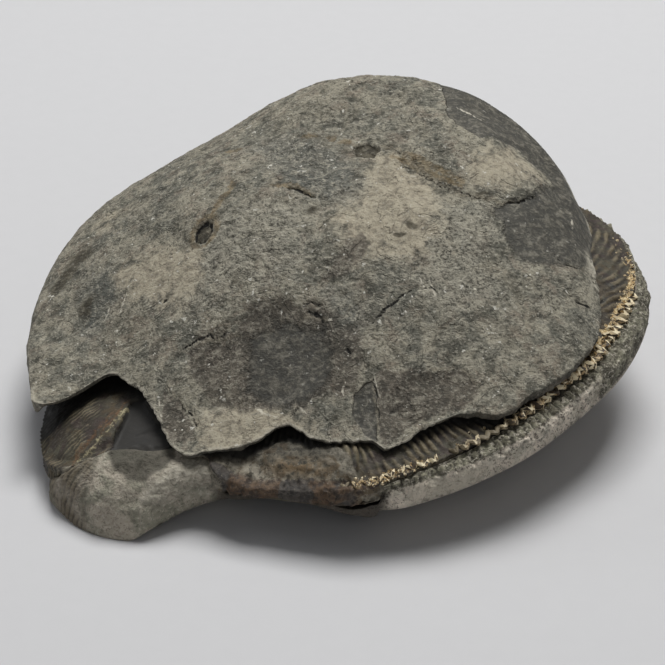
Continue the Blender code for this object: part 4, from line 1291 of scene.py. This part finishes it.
# %% Lid stone material
def lid_stone_material():
    m = Maker("lid stone")
    clouds = m.noise(7.0, 5.0, 0.66, warp=0.8)
    pinkness = m.noise(4.0, 5.0, 0.66, warp=0.5)
    blots = m.noise(2.8, 4.0, 0.62, warp=0.5)
    mottling = m.noise(1.5, 5.0, 0.72, warp=0.3)
    pepper = m.noise(0.48, 2.0, 0.7)
    salt = m.noise(0.55, 2.0, 0.7, stretch=(0.75, 1.25, 1.0))
    fray, drift = m.noise(0.8, 4.0, 0.75) - 0.5, mottling - 0.5
    dark = m.mark("dark", fray * 2.2, -0.5, 0.5)
    scar = m.mark("scar", fray * 2.4, -0.6, 0.6)
    buff = m.mark("buff", drift * 3.6, -1.0, 1.0)
    coarse = m.mark("coarse", drift * 3.0, -1.2, 1.2)
    m.colour = m.blend(clouds.eased(0.40, 0.60), (108, 107, 97), (138, 133, 118))
    m.coat(pinkness.eased(0.50, 0.62) * 0.5, (136, 122, 107))
    m.coat(blots.eased(0.50, 0.64) * 0.7, (162, 156, 139))
    m.coat(blots.eased(0.48, 0.36) * 0.7, (78, 77, 68))
    m.coat(coarse * clouds.eased(0.75, 0.44) * 0.7, (158, 154, 140))
    m.coat(m.mark("grey", drift * 4.0, -0.8, 0.8) * 0.65, (80, 83, 80))
    m.coat(buff * 0.80, (156, 147, 129), (190, 180, 158), mottling.eased(0.35, 0.65))
    m.coat(scar * 0.80, (68, 62, 55), (90, 82, 73), mottling.eased(0.4, 0.6))
    m.coat(dark * 0.95, (58, 57, 52), (74, 71, 63), mottling.eased(0.38, 0.62))
    spots_and_pits = m.mark("stain", drift * 0.9, 0.25, 0.85)
    m.coat(spots_and_pits * 0.9, (42, 38, 28), (66, 60, 46), mottling.eased(0.35, 0.60))
    contrast = (0.85 + 0.15 * coarse) * (1.0 - 0.65 * dark) * (1.0 - 0.50 * buff)
    contrast = contrast * (1.0 - 0.25 * scar) * (1.0 - 0.6 * spots_and_pits)
    m.coat(mottling.eased(0.50, 0.66) * contrast * 0.8, (168, 163, 147))
    m.coat(mottling.eased(0.50, 0.33) * contrast * 0.85, (62, 60, 52))
    m.coat(salt.eased(0.52, 0.66) * contrast * 0.6, (180, 175, 160))
    m.coat(pepper.eased(0.48, 0.35) * contrast * 0.7, (52, 51, 44))
    crumbs = m.noise(0.9, 2.0, 0.6).eased(0.65, 0.72) * m.noise(3.4, 3.0).eased(0.44, 0.56)
    m.coat(crumbs * (1.0 - 0.5 * dark) * 0.9, (214, 211, 200))
    ochre = m.mark("ochre", fray * 1.8, 0.45, 0.0)
    m.coat(ochre * 0.55, (80, 68, 46), (124, 104, 68), mottling.eased(0.4, 0.6))
    # painted highlight along the edge of each small step
    m.coat(m.mark("ledge", fray * 0.6, 0.15, -0.05) * 0.6, (160, 152, 134))
    veins = m.noise(3.2, 2.0, 0.5, warp=0.8)
    veins = veins.eased(0.455, 0.50) * veins.eased(0.545, 0.50)
    m.coat(veins * dark * mottling.eased(0.40, 0.60) * 0.45, (140, 136, 124))
    m.coat(m.mark("scratch", fray * 0.3, 0.08, -0.04) * 0.85, (206, 200, 184))
    # painted highlight along the lid's broken edge
    m.coat(m.field("rim") * mottling.eased(0.38, 0.52), (184, 178, 162))
    crack = m.mark("crack", fray * 0.45, 0.08, -0.05)
    m.coat(crack * 0.97, (14, 12, 10))
    # painted shade on the lid's underside and on the front of its wall
    m.coat(m.field("hidden") * 0.75, (50, 47, 41))
    flakes = m.stairs(m.noise(6.0, 5.0, 0.6, warp=0.6) * 5.0) * (1.0 - dark)
    height = (pepper * 0.7 + salt * 0.45) * (0.4 + contrast)
    height = height + mottling * 0.9 + flakes * 0.6 - crack * 1.2
    return m.finish(0.84 + 0.1 * pepper - 0.14 * dark, height, 1.0, 0.30)


# %% [markdown]
# ## Fossil shell
# The shell is thin, brown and layered. It wears to gold where the light outer layer is left on the
# keel and on torn edges, to red-brown where the next layer shows, and to smooth black-grey stone
# where it is gone; that stone is painted darker still as the lid's shade on it. Under the lid's
# edge the shell is painted near black as shade. Rib crests are painted paler, and the grooves
# between them darker.

# %% Fossil shell material
def fossil_material():
    m = Maker("fossil shell")
    clouds = m.noise(3.6, 4.0, 0.62, warp=0.6)
    tint = m.noise(2.4, 4.0, 0.6, warp=0.4)
    mottling = m.noise(1.0, 4.0, 0.7)
    fine = m.noise(0.40, 3.0, 0.75)
    fray, drift = m.noise(0.7, 4.0, 0.75) - 0.5, mottling - 0.5
    rib, brown = m.field("rib"), m.field("brown")
    crust = m.mark("crust", drift * 2.6, -0.3, 0.3)
    fill = m.mark("fill", fray * 0.9, -0.08, 0.12)
    m.colour = m.blend(clouds.eased(0.40, 0.60), (54, 47, 37), (80, 76, 61))
    m.coat(tint.eased(0.52, 0.62) * 0.7, (66, 53, 49))
    m.coat(tint.eased(0.48, 0.36) * 0.7, (86, 73, 52))
    m.coat(brown * clouds.eased(0.35, 0.6) * 0.8, (78, 66, 50))
    m.coat(brown * tint.eased(0.52, 0.60) * 0.7, (73, 76, 72))
    m.coat(rib.eased(0.30, 0.95) * (0.7 - 0.35 * brown), (98, 89, 69), (148, 136, 110), fine)
    ribbed = (m.field("rib_reach") + m.field("line_reach")).at_most(1.0)
    m.coat(rib.eased(0.42, 0.05) * ribbed * 0.7, (26, 21, 16))
    grey_wall = m.blend(mottling.eased(0.36, 0.62), (42, 39, 36), (82, 76, 70))
    rusty_wall = m.blend(mottling.eased(0.38, 0.60), (52, 40, 30), (96, 76, 57))
    wall = m.blend(m.field("rusty").eased(0.3, 0.7), grey_wall, rusty_wall)
    wall = m.blend(m.mark("wall_crack", fray * 0.5, 0.16, 0.02) * 0.85, wall, (24, 19, 15))
    m.coat(m.mark("bare", fray * 1.2, -0.15, 0.15) * 0.95, wall)
    m.coat(m.mark("rust", fray * 2.8, 0.35, -0.55) * 0.75, (84, 58, 38), (130, 96, 62), fine)
    crust_colour = m.blend(mottling.eased(0.34, 0.62), (72, 69, 60), (130, 124, 110))
    crust_colour = m.blend(clouds.eased(0.52, 0.62) * 0.7, crust_colour, (146, 140, 126))
    m.coat(crust, crust_colour, (98, 84, 64), tint.eased(0.50, 0.60) * 0.75)
    torn = mottling.eased(0.35, 0.60) * 0.8
    m.coat(m.field("pale") * torn, (168, 161, 146))
    m.coat(m.field("tan") * torn, (118, 96, 66))
    # the stone fill's own dark grey, painted darker still as the lid's shade on it
    m.coat(fill * 0.97, (34, 33, 31), (48, 46, 43), mottling)
    rough = 1.0 - 0.85 * fill
    m.coat(fine.eased(0.42, 0.32) * rough * 0.7, (26, 23, 18))
    m.coat(fine.eased(0.60, 0.68) * rough * (0.35 + 0.65 * crust) * 0.8, (168, 160, 142))
    torn_edge = m.mark("gold_line", fray * 2.2, 0.10, -0.25)
    m.coat(torn_edge * 0.9, (104, 97, 72), (176, 166, 132), fine.eased(0.4, 0.6))
    golden = m.mark("gold", drift * 1.8 + (fine - 0.5) * 1.2, 0.66, 0.90)
    m.coat(golden, (150, 118, 68), (224, 204, 160), m.noise(0.30, 2.0, 0.6).eased(0.4, 0.6))
    # painted shade under the lid, near black; half as strong on the inner crust
    m.coat(m.field("deep") * 0.92, (15, 14, 12))
    height = fine * 0.6 * (1.0 - 0.8 * fill) + mottling * rough
    return m.finish(0.60 + 0.2 * mottling + 0.14 * crust, height, 1.0, 0.20)


# %% [markdown]
# ## Stone below
# The same mudstone, but freshly parted from the shell: mottled grey, pink-grey and green-black,
# with pale torn ledges. It keeps faint marks of the ribs beside the keel.

# %% Stone below material
def base_stone_material():
    m = Maker("base stone")
    clouds = m.noise(4.5, 5.0, 0.66, warp=0.7)
    patches = m.noise(2.2, 5.0, 0.70, warp=0.4)
    mottling = m.noise(1.0, 4.0, 0.72)
    pepper = m.noise(0.46, 2.0, 0.7)
    salt = m.noise(0.55, 2.0, 0.7)
    lump, rib = m.field("lump"), m.field("rib")
    m.colour = m.blend(clouds.eased(0.40, 0.60), (182, 175, 160), (222, 210, 194))
    m.coat(patches.eased(0.53, 0.62) * 0.6 * (1.0 - 0.6 * lump), (98, 99, 90))
    m.coat(patches.eased(0.42, 0.33) * 0.7, (176, 163, 149))
    m.coat(lump * 0.8, (128, 127, 111), (166, 158, 143), clouds.eased(0.4, 0.6))
    by_keel = m.mark("by_keel", (patches - 0.5) * 1.2, 0.20, 0.60)
    m.coat(by_keel * 0.85, (118, 118, 98), (66, 64, 50), patches.eased(0.42, 0.58))
    m.coat(rib.eased(0.45, 1.1) * 0.6, (144, 140, 120))
    m.coat(rib.eased(0.40, 0.05) * m.field("rib_reach").at_most(1.0) * 0.75, (42, 40, 31))
    contrast = 1.0 - 0.45 * lump
    m.coat(mottling.eased(0.54, 0.68) * contrast * 0.5, (190, 182, 168))
    m.coat(mottling.eased(0.45, 0.32) * contrast * 0.6, (74, 67, 57))
    m.coat(salt.eased(0.54, 0.64) * contrast * 0.6, (206, 199, 184))
    m.coat(pepper.eased(0.46, 0.36) * contrast * 0.7, (52, 47, 41))
    m.coat(m.field("facet") * 0.85, (54, 52, 46), (84, 80, 70), mottling)
    m.coat(m.field("bridge") * 0.75, (142, 138, 125), (184, 178, 164), mottling.eased(0.35, 0.65))
    m.coat(m.field("shaded") * 0.85, (44, 37, 30))
    m.coat(m.field("ledge") * 0.6, (186, 178, 162))
    streaks = m.blend(mottling, (92, 82, 66), (126, 116, 98))
    m.coat(m.field("line_reach") * 0.85, (44, 37, 28), streaks, rib.eased(0.0, 0.6))
    # painted shade on the underside
    m.coat(m.field("under") * 0.3, (80, 74, 66))
    flakes = m.stairs(m.noise(5.0, 5.0, 0.6, warp=0.6) * 5.0)
    height = pepper * 0.7 + salt * 0.4 + mottling * 0.9 + flakes * 0.5
    return m.finish(0.84 + 0.1 * pepper, height, 1.0, 0.28)


# %% [markdown]
# ## Keel gold
# The cord of the keel keeps the most of the light shell layer, so it has a finish of its own:
# cream and gold flakes over brown, with a low gloss. Where little gold is left it is dull brown.

# %% Keel gold material
def keel_material():
    m = Maker("keel gold")
    flake = m.field("flake")
    fine = m.noise(0.35, 3.0, 0.7)
    m.colour = m.blend(flake.eased(0.30, 0.85), (166, 138, 94), (240, 226, 192))
    m.coat((flake + (fine - 0.5) * 1.4).eased(0.44, 0.30), (60, 48, 33))
    dull = m.mark("gold", m.noise(2.2, 3.0, 0.6) - 0.5, 0.65, 0.30)
    m.coat(dull, (78, 70, 55), (146, 134, 110), fine)
    return m.finish(0.52 + 0.2 * fine, fine, 0.5, 0.08)


LID_STONE = lid_stone_material()
FOSSIL_SHELL = fossil_material()
BASE_STONE = base_stone_material()
KEEL_GOLD = keel_material()
lid.data.materials.append(LID_STONE)
print("materials:", [m.name for m in (LID_STONE, FOSSIL_SHELL, BASE_STONE, KEEL_GOLD)])

# %% [markdown]
# ## A small maker for Geometry Nodes
# Each tree has named inputs, and its modifier's values are set by the sockets' identifiers before
# the object is first evaluated. The result is then kept as a plain mesh, so nothing live is left.

# %% Geometry Nodes helpers
class Tree(Graph):
    """A Geometry Nodes group; its inputs are given as lists of labels, one list for each kind."""

    def __init__(self, name, inputs):
        super().__init__(bpy.data.node_groups.new(name, "GeometryNodeTree"))
        self.keys = {}
        for direction in ("INPUT", "OUTPUT"):
            self.add_socket("Geometry", "Geometry", direction)
        for kind, labels in inputs.items():
            for label in labels:
                self.keys[label] = self.add_socket(label, kind, "INPUT").identifier
        self.start = self.tree.nodes.new("NodeGroupInput")
        self.end = self.tree.nodes.new("NodeGroupOutput")

    def add_socket(self, label, kind, direction):
        kind = "NodeSocket" + kind
        return self.tree.interface.new_socket(label, in_out=direction, socket_type=kind)

    def input(self, label):
        return Wire(self, self.start.outputs[label])

    def attribute(self, name):
        return self.node("GeometryNodeInputNamedAttribute", {"data_type": "FLOAT"}, {"Name": name})

    def store(self, geometry, name, value, domain="POINT"):
        settings = {"data_type": "FLOAT", "domain": domain}
        sockets = {"Geometry": geometry, "Name": name, "Value": value}
        return self.node("GeometryNodeStoreNamedAttribute", settings, sockets)

    def move(self, geometry, direction, reach):
        """Moves every point along a direction, by a reach of its own."""
        offset = self.vector("SCALE", {"Vector": direction, "Scale": reach})
        return self.node("GeometryNodeSetPosition", {}, {"Geometry": geometry, "Offset": offset})

    def random(self, kind, low, high):
        """A random value of a kind, VALUE or VECTOR, between low and high, from the tree's Seed."""
        made = self.tree.nodes.new("FunctionNodeRandomValue")
        made.data_type = {"VALUE": "FLOAT", "VECTOR": "FLOAT_VECTOR"}[kind]
        wanted = {s.name: s for s in made.inputs if s.type == kind}
        self.connect(wanted["Min"], low)
        self.connect(wanted["Max"], high)
        self.connect(made.inputs["Seed"], self.input("Seed"))
        return Wire(self, next(s for s in made.outputs if s.type == kind))

    def scatter(self, places):
        """Sets shapes down at places, as real geometry; places are the node's own sockets."""
        return self.realize(self.node("GeometryNodeInstanceOnPoints", {}, places))

    def realize(self, geometry):
        return self.node("GeometryNodeRealizeInstances", {}, {"Geometry": geometry})

    def close(self, geometry):
        sockets = {"Geometry": self.realize(geometry), "Material": self.input("Material")}
        self.connect(self.end.inputs[0], self.node("GeometryNodeSetMaterial", {}, sockets))
        return self


def grow(piece, tree, values):
    """Runs a tree on a piece and keeps the result as the piece's plain mesh."""
    modifier = piece.modifiers.new(tree.tree.name, "NODES")
    modifier.node_group = tree.tree
    for label, value in values.items():
        modifier[tree.keys[label]] = value
    bpy.context.view_layer.update()
    depsgraph = bpy.context.evaluated_depsgraph_get()
    mesh = bpy.data.meshes.new_from_object(piece.evaluated_get(depsgraph), depsgraph=depsgraph)
    piece.modifiers.remove(modifier)
    mesh.name = piece.name
    piece.data = mesh
    print(f"{piece.name}: {len(mesh.vertices)} points, {len(mesh.polygons)} faces")


# %% [markdown]
# ## Ribs and growth lines
# A rib is a wave round the coil. The tree reads the painted turn, makes one wave for the ribs and
# a finer one for the growth lines, and lifts the surface along its normal by those and by the
# painted roughness. It stores the waves, so that the material can paint the crests paler and the
# grooves darker. The stone below took the same marks, so it goes through the same tree later.

# %% Raise the ribs
RIB_COUNT = 186  # round the whole coil
RIB_HEIGHT = 0.26  # mm
LINES_PER_RIB = 2
LINE_HEIGHT = 0.20  # mm


def rib_tree():
    tree = Tree("Ribs and growth lines", {
        "Float": ["Ribs", "Rib Height", "Lines", "Line Height", "Relief Unit"],
        "Material": ["Material"]})

    def wave(count, reach):
        crests = (tree.attribute("around") * tree.input(count)).cosine() * 0.5 + 0.5
        return crests * tree.attribute(reach)

    rib, line = wave("Ribs", "rib_reach"), wave("Lines", "line_reach")
    lift = rib * tree.input("Rib Height") + line * tree.input("Line Height")
    lift = lift + tree.attribute("relief") * tree.input("Relief Unit")
    kept = tree.store(tree.input("Geometry"), "rib", rib + line)
    return tree.close(tree.move(kept, tree.node("GeometryNodeInputNormal"), lift))


RIB_TREE = rib_tree()


def rib_values(material):
    return {"Ribs": float(RIB_COUNT), "Rib Height": RIB_HEIGHT * METRES_PER_MM,
            "Lines": float(RIB_COUNT * LINES_PER_RIB), "Line Height": LINE_HEIGHT * METRES_PER_MM,
            "Relief Unit": METRES_PER_MM, "Material": material}


grow(whorl, RIB_TREE, rib_values(FOSSIL_SHELL))

# %% [markdown]
# ## The keel's cord
# The keel is a cord of chevrons. The tree takes the keel's line, cuts it at one pitch, and sets
# one chevron on each point, turned along the line. A chevron is two rough ridges that lean against
# each other, so the cord runs in a zigzag. It is thinner at the front and swells to the right,
# where it also stands a little outward and higher. Some chevrons have fallen out, the more the
# less gold is left there, and noise wears the rest. Each face gets its own brightness, because
# flakes of shell catch the light one by one.

# %% Keel line
KEEL_FROM = 268.0
KEEL_TO = 357.0
KEEL_POINTS = 700
# The cord: how far inward of the rim it runs and how far above, in mm, and how swollen it is.
KEEL_INWARD = {0: -0.3, 262: 0.9, 272: 0.7, 280: 0.8, 285: 0.35, 292: 0.2, 300: -0.1, 308: -0.45,
               318: -0.6, 330: -0.5, 338: -0.2, 345: 0.0, 352: -0.15}
KEEL_LIFT = {0: -0.35, 262: 0.15, 285: 0.25, 300: 0.45, 318: 0.6, 330: 0.5, 340: 0.3, 348: 0.0,
             354: -0.2}
KEEL_SWELL = {0: 1.0, 262: 0.7, 275: 0.8, 300: 0.95, 315: 1.2, 345: 1.3, 354: 1.1}


def keel_line():
    """A line along the keel, which carries how golden and how swollen the cord is there."""
    theta = np.radians(np.linspace(KEEL_FROM, KEEL_TO, KEEL_POINTS))
    edge = coil_edge(theta)
    radius = edge - table_curve(KEEL_INWARD, theta)
    x, y = from_polar(theta, radius, COIL_CENTRE)
    on_fossil = from_polar(theta, np.minimum(radius, edge), COIL_CENTRE)
    z = coil_top(*on_fossil) + table_curve(KEEL_LIFT, theta)
    mesh = bpy.data.meshes.new("keel_line")
    steps = [(k, k + 1) for k in range(KEEL_POINTS - 1)]
    mesh.from_pydata(in_metres(np.stack([x, y, z], axis=1)).tolist(), steps, [])
    gold, swell = table_curve(GOLD_ROUND, theta), table_curve(KEEL_SWELL, theta)
    write_fields(mesh, {"gold": gold, "swell": swell})
    return add_object("keel_cord", mesh)


# %% Set the chevrons
CHEVRON_PITCH = 1.60
ARM_SIZE = (0.82, 2.50, 1.05)  # along the keel, across it, and its height
ARM_SWEEP = math.radians(29.0)
ARM_PLACE = (0.37, 0.0, -0.12)
CHEVRON_WEAR = 0.34  # how far noise shakes a flake's corners, in mm
KEPT_ANYWAY = 0.60  # share of the chevrons that is left where there is no gold
WEAR_SCALE = 650.0  # of the noise that shakes the flakes, per metre


def rough_flakes(tree, geometry):
    """Shakes the points with noise, and stores a random brightness on every face."""
    noise_here = tree.node("ShaderNodeTexNoise", {}, {"Scale": WEAR_SCALE, "Detail": 2.0}, "Color")
    centred = tree.vector("SUBTRACT", [noise_here, (0.5, 0.5, 0.5)])
    worn = tree.move(geometry, centred, tree.input("Wear"))
    flaky = tree.store(worn, "flake", tree.random("VALUE", 0.0, 1.0), "FACE")
    return tree.node("GeometryNodeSetShadeSmooth", {}, {"Geometry": flaky, "Shade Smooth": False})


def chevron_tree():
    tree = Tree("Keel chevrons", {
        "Float": ["Pitch", "Sweep", "Wear"], "Vector": ["Arm Size", "Arm Place"], "Int": ["Seed"],
        "Material": ["Material"]})
    curve = tree.node("GeometryNodeMeshToCurve", {}, {"Mesh": tree.input("Geometry")})
    places = tree.node("GeometryNodeResampleCurve", {"mode": "LENGTH"},
                       {"Curve": curve, "Length": tree.input("Pitch")})
    turned = tree.node("FunctionNodeAlignRotationToVector", {"axis": "X"},
                       {"Vector": tree.node("GeometryNodeInputTangent")})
    ridge = tree.node("GeometryNodeMeshIcoSphere", {}, {"Radius": 0.5, "Subdivisions": 1})
    both = tree.tree.nodes.new("GeometryNodeJoinGeometry")
    for side in (-1.0, 1.0):
        place = tree.vector("MULTIPLY", [tree.input("Arm Place"), (-side, 1.0, 1.0)])
        turn = tree.node("ShaderNodeCombineXYZ", {}, {"Z": tree.input("Sweep") * side})
        arm = tree.node("GeometryNodeTransform", {}, {
            "Geometry": ridge, "Translation": place, "Rotation": turn,
            "Scale": tree.input("Arm Size")})
        tree.connect(both.inputs[0], arm)
    chance = {"A": tree.random("VALUE", 0.0, 1.0), "B": tree.attribute("gold") + KEPT_ANYWAY}
    less = {"data_type": "FLOAT", "operation": "LESS_THAN"}
    kept = tree.node("FunctionNodeCompare", less, chance)
    size = tree.random("VECTOR", (0.70, 0.70, 0.55), (1.25, 1.15, 1.35))
    swollen = tree.vector("SCALE", {"Vector": size, "Scale": tree.attribute("swell")})
    chevrons = tree.scatter({
        "Points": places, "Selection": kept, "Instance": Wire(tree, both.outputs[0]),
        "Rotation": turned, "Scale": swollen})
    return tree.close(rough_flakes(tree, chevrons))


cord = keel_line()
grow(cord, chevron_tree(), {
    "Pitch": CHEVRON_PITCH * METRES_PER_MM, "Arm Size": tuple(s * METRES_PER_MM for s in ARM_SIZE),
    "Arm Place": tuple(s * METRES_PER_MM for s in ARM_PLACE), "Sweep": ARM_SWEEP,
    "Wear": CHEVRON_WEAR * METRES_PER_MM, "Seed": 7, "Material": KEEL_GOLD})

# %% [markdown]
# ## Crumbs of shell
# Beside the cord the light shell has crumbled to grains. The tree scatters rough grains over the
# fossil where the painted gold says so, turned and sized at random, and sinks them half way in.

# %% Scatter the crumbs
CRUMBS_PER_MM2 = 0.9
CRUMB_RADII = (0.10, 0.34)  # mm
CRUMB_WEAR = 0.30
FULL_TURN = 6.28  # radians


def crumb_tree():
    tree = Tree("Crumbs", {
        "String": ["Where"], "Float": ["Density", "Smallest", "Largest", "Wear"], "Int": ["Seed"],
        "Material": ["Material"]})
    density = tree.attribute(tree.input("Where")).at_least(0.0) * tree.input("Density")
    places = tree.node("GeometryNodeDistributePointsOnFaces", {}, {
        "Mesh": tree.input("Geometry"), "Density": density, "Seed": tree.input("Seed")})
    grain_shape = tree.node("GeometryNodeMeshIcoSphere", {}, {"Radius": 1.0, "Subdivisions": 1})
    crumbled = tree.scatter({
        "Points": places, "Instance": grain_shape,
        "Rotation": tree.random("VECTOR", (0.0, 0.0, 0.0), (FULL_TURN, FULL_TURN, FULL_TURN)),
        "Scale": tree.random("VALUE", tree.input("Smallest"), tree.input("Largest"))})
    return tree.close(rough_flakes(tree, tree.store(crumbled, "gold", 1.0)))


crumbs = add_object("shell_crumbs", whorl.data.copy())
smallest, largest = (r * METRES_PER_MM for r in CRUMB_RADII)
grow(crumbs, crumb_tree(), {
    "Where": "gold", "Density": CRUMBS_PER_MM2 / METRES_PER_MM ** 2, "Smallest": smallest,
    "Largest": largest, "Wear": CRUMB_WEAR * METRES_PER_MM, "Seed": 3, "Material": KEEL_GOLD})

# %% [markdown]
# ## The stone below
# The same recipe as the lid: a bowl that nobody sees, a dense rim that everybody does, and a belly
# to lie on. The rim keeps faint marks of the ribs beside the keel and is olive where they run out
# at the right. A thin ledge lies low at the front, and the rough lump and bridge at the front
# left.

# %% Places on the stone below
def rim_rings(per_side, count):
    """Rings from the lip over the rounded rim to the foot, evenly spaced along the curve."""
    shares = np.sin(np.linspace(0.0, math.pi / 2, count + 1)[1:]) ** (2.0 / RIM_ROUNDNESS)
    return [(per_side, LIP_START + (1.0 - LIP_START) * float(share)) for share in shares]


BASE_RINGS = bands_of(0.34, (38, 0.58, 4), (76, 0.72, 4))
BASE_RINGS += [(152, BOWL_END), (304, LIP_START)] + rim_rings(304, 40)
BASE_UNDER_RINGS = bands_of(0.34, (38, 0.60, 6), (76, 0.74, 6), (152, 0.88, 9), (304, 1.0, 16))
BASE_WALL_ROWS = 2
BUMP_ROWS = ((0.27, 0.12, 2.2), (0.50, 0.08, 0.9))  # place over the rim, width, strength
PALE_LEDGE = [(10.0, -27.9), (14.7, -26.6), (18.5, -25.2), (22.0, -23.6)]
LUMP_FACET = [(-31.8, -15.0), (-22.6, -15.0), (-22.2, -18.6), (-23.6, -21.0), (-26.0, -22.6),
              (-28.6, -22.4), (-31.0, -20.0), (-31.6, -17.6)]
LUMP_RIDGE = [(-27.0, -25.2), (-24.0, -23.5), (-21.9, -21.7), (-19.6, -20.9), (-16.5, -21.6)]

# %% Build the stone below
base_rim = {}


def base_crown(theta, distance):
    """Places of the bowl's and the rim's points; how far over the rim they lie is kept."""
    x, y = from_polar(theta, base_radius(theta, distance), COIL_CENTRE)
    base_rim["over"] = np.arcsin(rim_part(distance) ** (RIM_ROUNDNESS / 2.0)) / (math.pi / 2)
    base_rim["shown"] = ease(distance, LIP_START - 0.005, LIP_START + 0.01) * stands_beside(theta)
    return x, y, base_top(x, y, theta, distance)


def base_belly(theta, distance):
    x, y = spread(theta, distance, base_edge, COIL_CENTRE)
    z = base_underside(x, y, theta, distance)
    rough = 0.25 * np.clip(grain(x, y, z, 2.0, 63.0, 3) + 0.4, 0.0, 1.0) * ease(z, 0.2, 1.5)
    return x, y, z + rough * (1.0 - ease(distance, 0.985, 1.0))


def base_painted(points, low_start, row_start):
    p = Points(points, low_start, row_start)
    x, y, z, angle = p.x, p.y, p.z, p.angle
    lump = lump_share(p.theta)
    over, shown = np.ones(len(points)), np.where(p.wall, stands_beside(p.theta), 0.0)
    over[:low_start] = base_rim["over"]
    shown[:low_start] = base_rim["shown"]
    coarse = p.grain(3.0, 65.0)
    olive = 0.9 * np.where(angle > 180.0, ease(angle, 322.0, 338.0), 1.0 - ease(angle, 10.0, 40.0))
    bumps = sum(s * np.exp(-((over - place) / width) ** 2) for place, width, s in BUMP_ROWS)
    bumps = bumps * (1.0 - lump) * shown * np.clip(0.6 + 1.2 * coarse, 0.0, 1.3)
    line = ease(-(x + 33.2 - 0.25 * (y + 20.0)), -0.6, 1.8) * lump * shown
    line = line * np.clip(0.8 + 0.8 * coarse, 0.2, 1.0)
    relief = 0.34 * p.grain(2.0, 55.0) + 0.20 * p.grain(0.7, 57.0, 2) + 0.30 * p.grain(6.0, 59.0, 2)
    return {
        "around": rib_turn(p.theta, 0.0) + 0.006 * coarse,
        "rib_reach": 1.5 * bumps * (1.0 - 0.8 * olive),
        "line_reach": line,
        "relief": (relief * (1.0 - 0.5 * line) - 0.2) * shown * ease(z, 0.4, 2.0),
        "by_keel": np.maximum(1.0 - ease(over, 0.34, 0.72), olive) * (1.0 - lump) * shown,
        "lump": lump,
        # painted shade on the underside
        "under": np.where(p.top | p.wall, 0.0, 1.0),
        "bridge": shown * stroke(x, y, LUMP_RIDGE, 1.3) * ease(z, 4.0, 6.0),
        "shaded": between(angle, 239.5, 276.5, 1.5),
        "facet": patch(x, y, LUMP_FACET, 0.35),
        "ledge": np.exp(-(outside_line(x, y, PALE_LEDGE, 0.3) / 0.3) ** 2) * shown,
    }


base = closed_body(
    "base_stone",
    disc_side(38, 0.34, BASE_RINGS, base_crown),
    disc_side(38, 0.34, BASE_UNDER_RINGS, base_belly),
    BASE_WALL_ROWS, lambda points, share: points, base_painted,
)
grow(base, RIB_TREE, rib_values(BASE_STONE))

# %% [markdown]
# ## Camera, light and floor
# The specimen is seen from 32 degrees above its broken front with a long lens. A large soft lamp
# hangs behind and above it, and weak ones fill it from the left and from the front, so the shadow
# is soft and falls forward.

# %% Camera
CAMERA_AIM = (0.0, 0.0, 18.0)  # drawing millimetres
CAMERA_DISTANCE = 292.0
CAMERA_ELEVATION = math.radians(32.0)
SENSOR_WIDTH = 36.0
LENS_WIDTHS = 2000.0 / 665.0  # focal length over the sensor's width

camera = add_object("camera", bpy.data.cameras.new("camera"))
back = CAMERA_DISTANCE * math.cos(CAMERA_ELEVATION)
up = CAMERA_DISTANCE * math.sin(CAMERA_ELEVATION)
camera.location = in_metres(np.array(CAMERA_AIM) + (0.0, -back, up))
camera.rotation_euler = (math.pi / 2 - CAMERA_ELEVATION, 0.0, 0.0)
camera.data.sensor_width = SENSOR_WIDTH
camera.data.lens = SENSOR_WIDTH * LENS_WIDTHS
camera.data.clip_start = 0.01
bpy.context.scene.camera = camera


# %% Light
def soft_lamp(name, place, size, power, colour):
    """A square lamp at a place in metres, turned to the specimen."""
    lamp = add_object(name, bpy.data.lights.new(name, "AREA"))
    lamp.data.size = size
    lamp.data.energy = power
    lamp.data.color = colour
    lamp.location = place
    lamp.rotation_euler = (-Vector(place)).to_track_quat("-Z", "Y").to_euler()


soft_lamp("ceiling", (0.10, 0.26, 0.76), 0.42, 6.2, (1.0, 0.995, 0.98))
soft_lamp("window", (-0.60, 0.20, 0.40), 0.40, 0.6, (0.98, 0.99, 1.0))
soft_lamp("room wall", (0.15, -0.70, 0.42), 0.60, 0.5, (1.0, 0.985, 0.96))
world = bpy.data.worlds.new("room")
world.use_nodes = True
background = world.node_tree.nodes["Background"]
background.inputs["Color"].default_value = (0.93, 0.96, 1.0, 1.0)
background.inputs["Strength"].default_value = 0.10
bpy.context.scene.world = world
bpy.context.scene.view_settings.view_transform = "Standard"

# %% Floor
FLOOR_HALF = 2.0  # metres

floor_mesh = bpy.data.meshes.new("floor")
plane = bmesh.new()
bmesh.ops.create_grid(plane, x_segments=1, y_segments=1, size=FLOOR_HALF)
plane.to_mesh(floor_mesh)
plane.free()
floor = add_object("floor", floor_mesh)
pale = Maker("pale floor")
clouding = pale.noise(3.0, 2.0)
pale.colour = pale.blend(clouding, (206, 206, 208), (209, 209, 211))
floor_mesh.materials.append(pale.finish(0.9, clouding, 0.05, 0.05))
floor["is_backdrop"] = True

# %% [markdown]
# ## The dressed pieces
# Each dressed piece takes the place of one solid, which is no longer shown, and rides on the root.
# The keel's cord and the crumbs lie on the fossil and ride on the root as well.

# %% Ride and replace
for piece, node, slot in ((lid, "nodule_lid", "lid_stone"), (whorl, "ammonite", "fossil_shell"),
                          (base, "nodule_base", "base_stone")):
    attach(piece, "root")
    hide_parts(node)
for piece in (cord, crumbs):
    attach(piece, "root")

dressed_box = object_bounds()
sizes = {"solids": [list(c) for c in solid_box], "dressed": [list(c) for c in dressed_box]}
print("box in mm:", [[round(v * 1000, 2) for v in c] for c in sizes["solids"] + sizes["dressed"]])
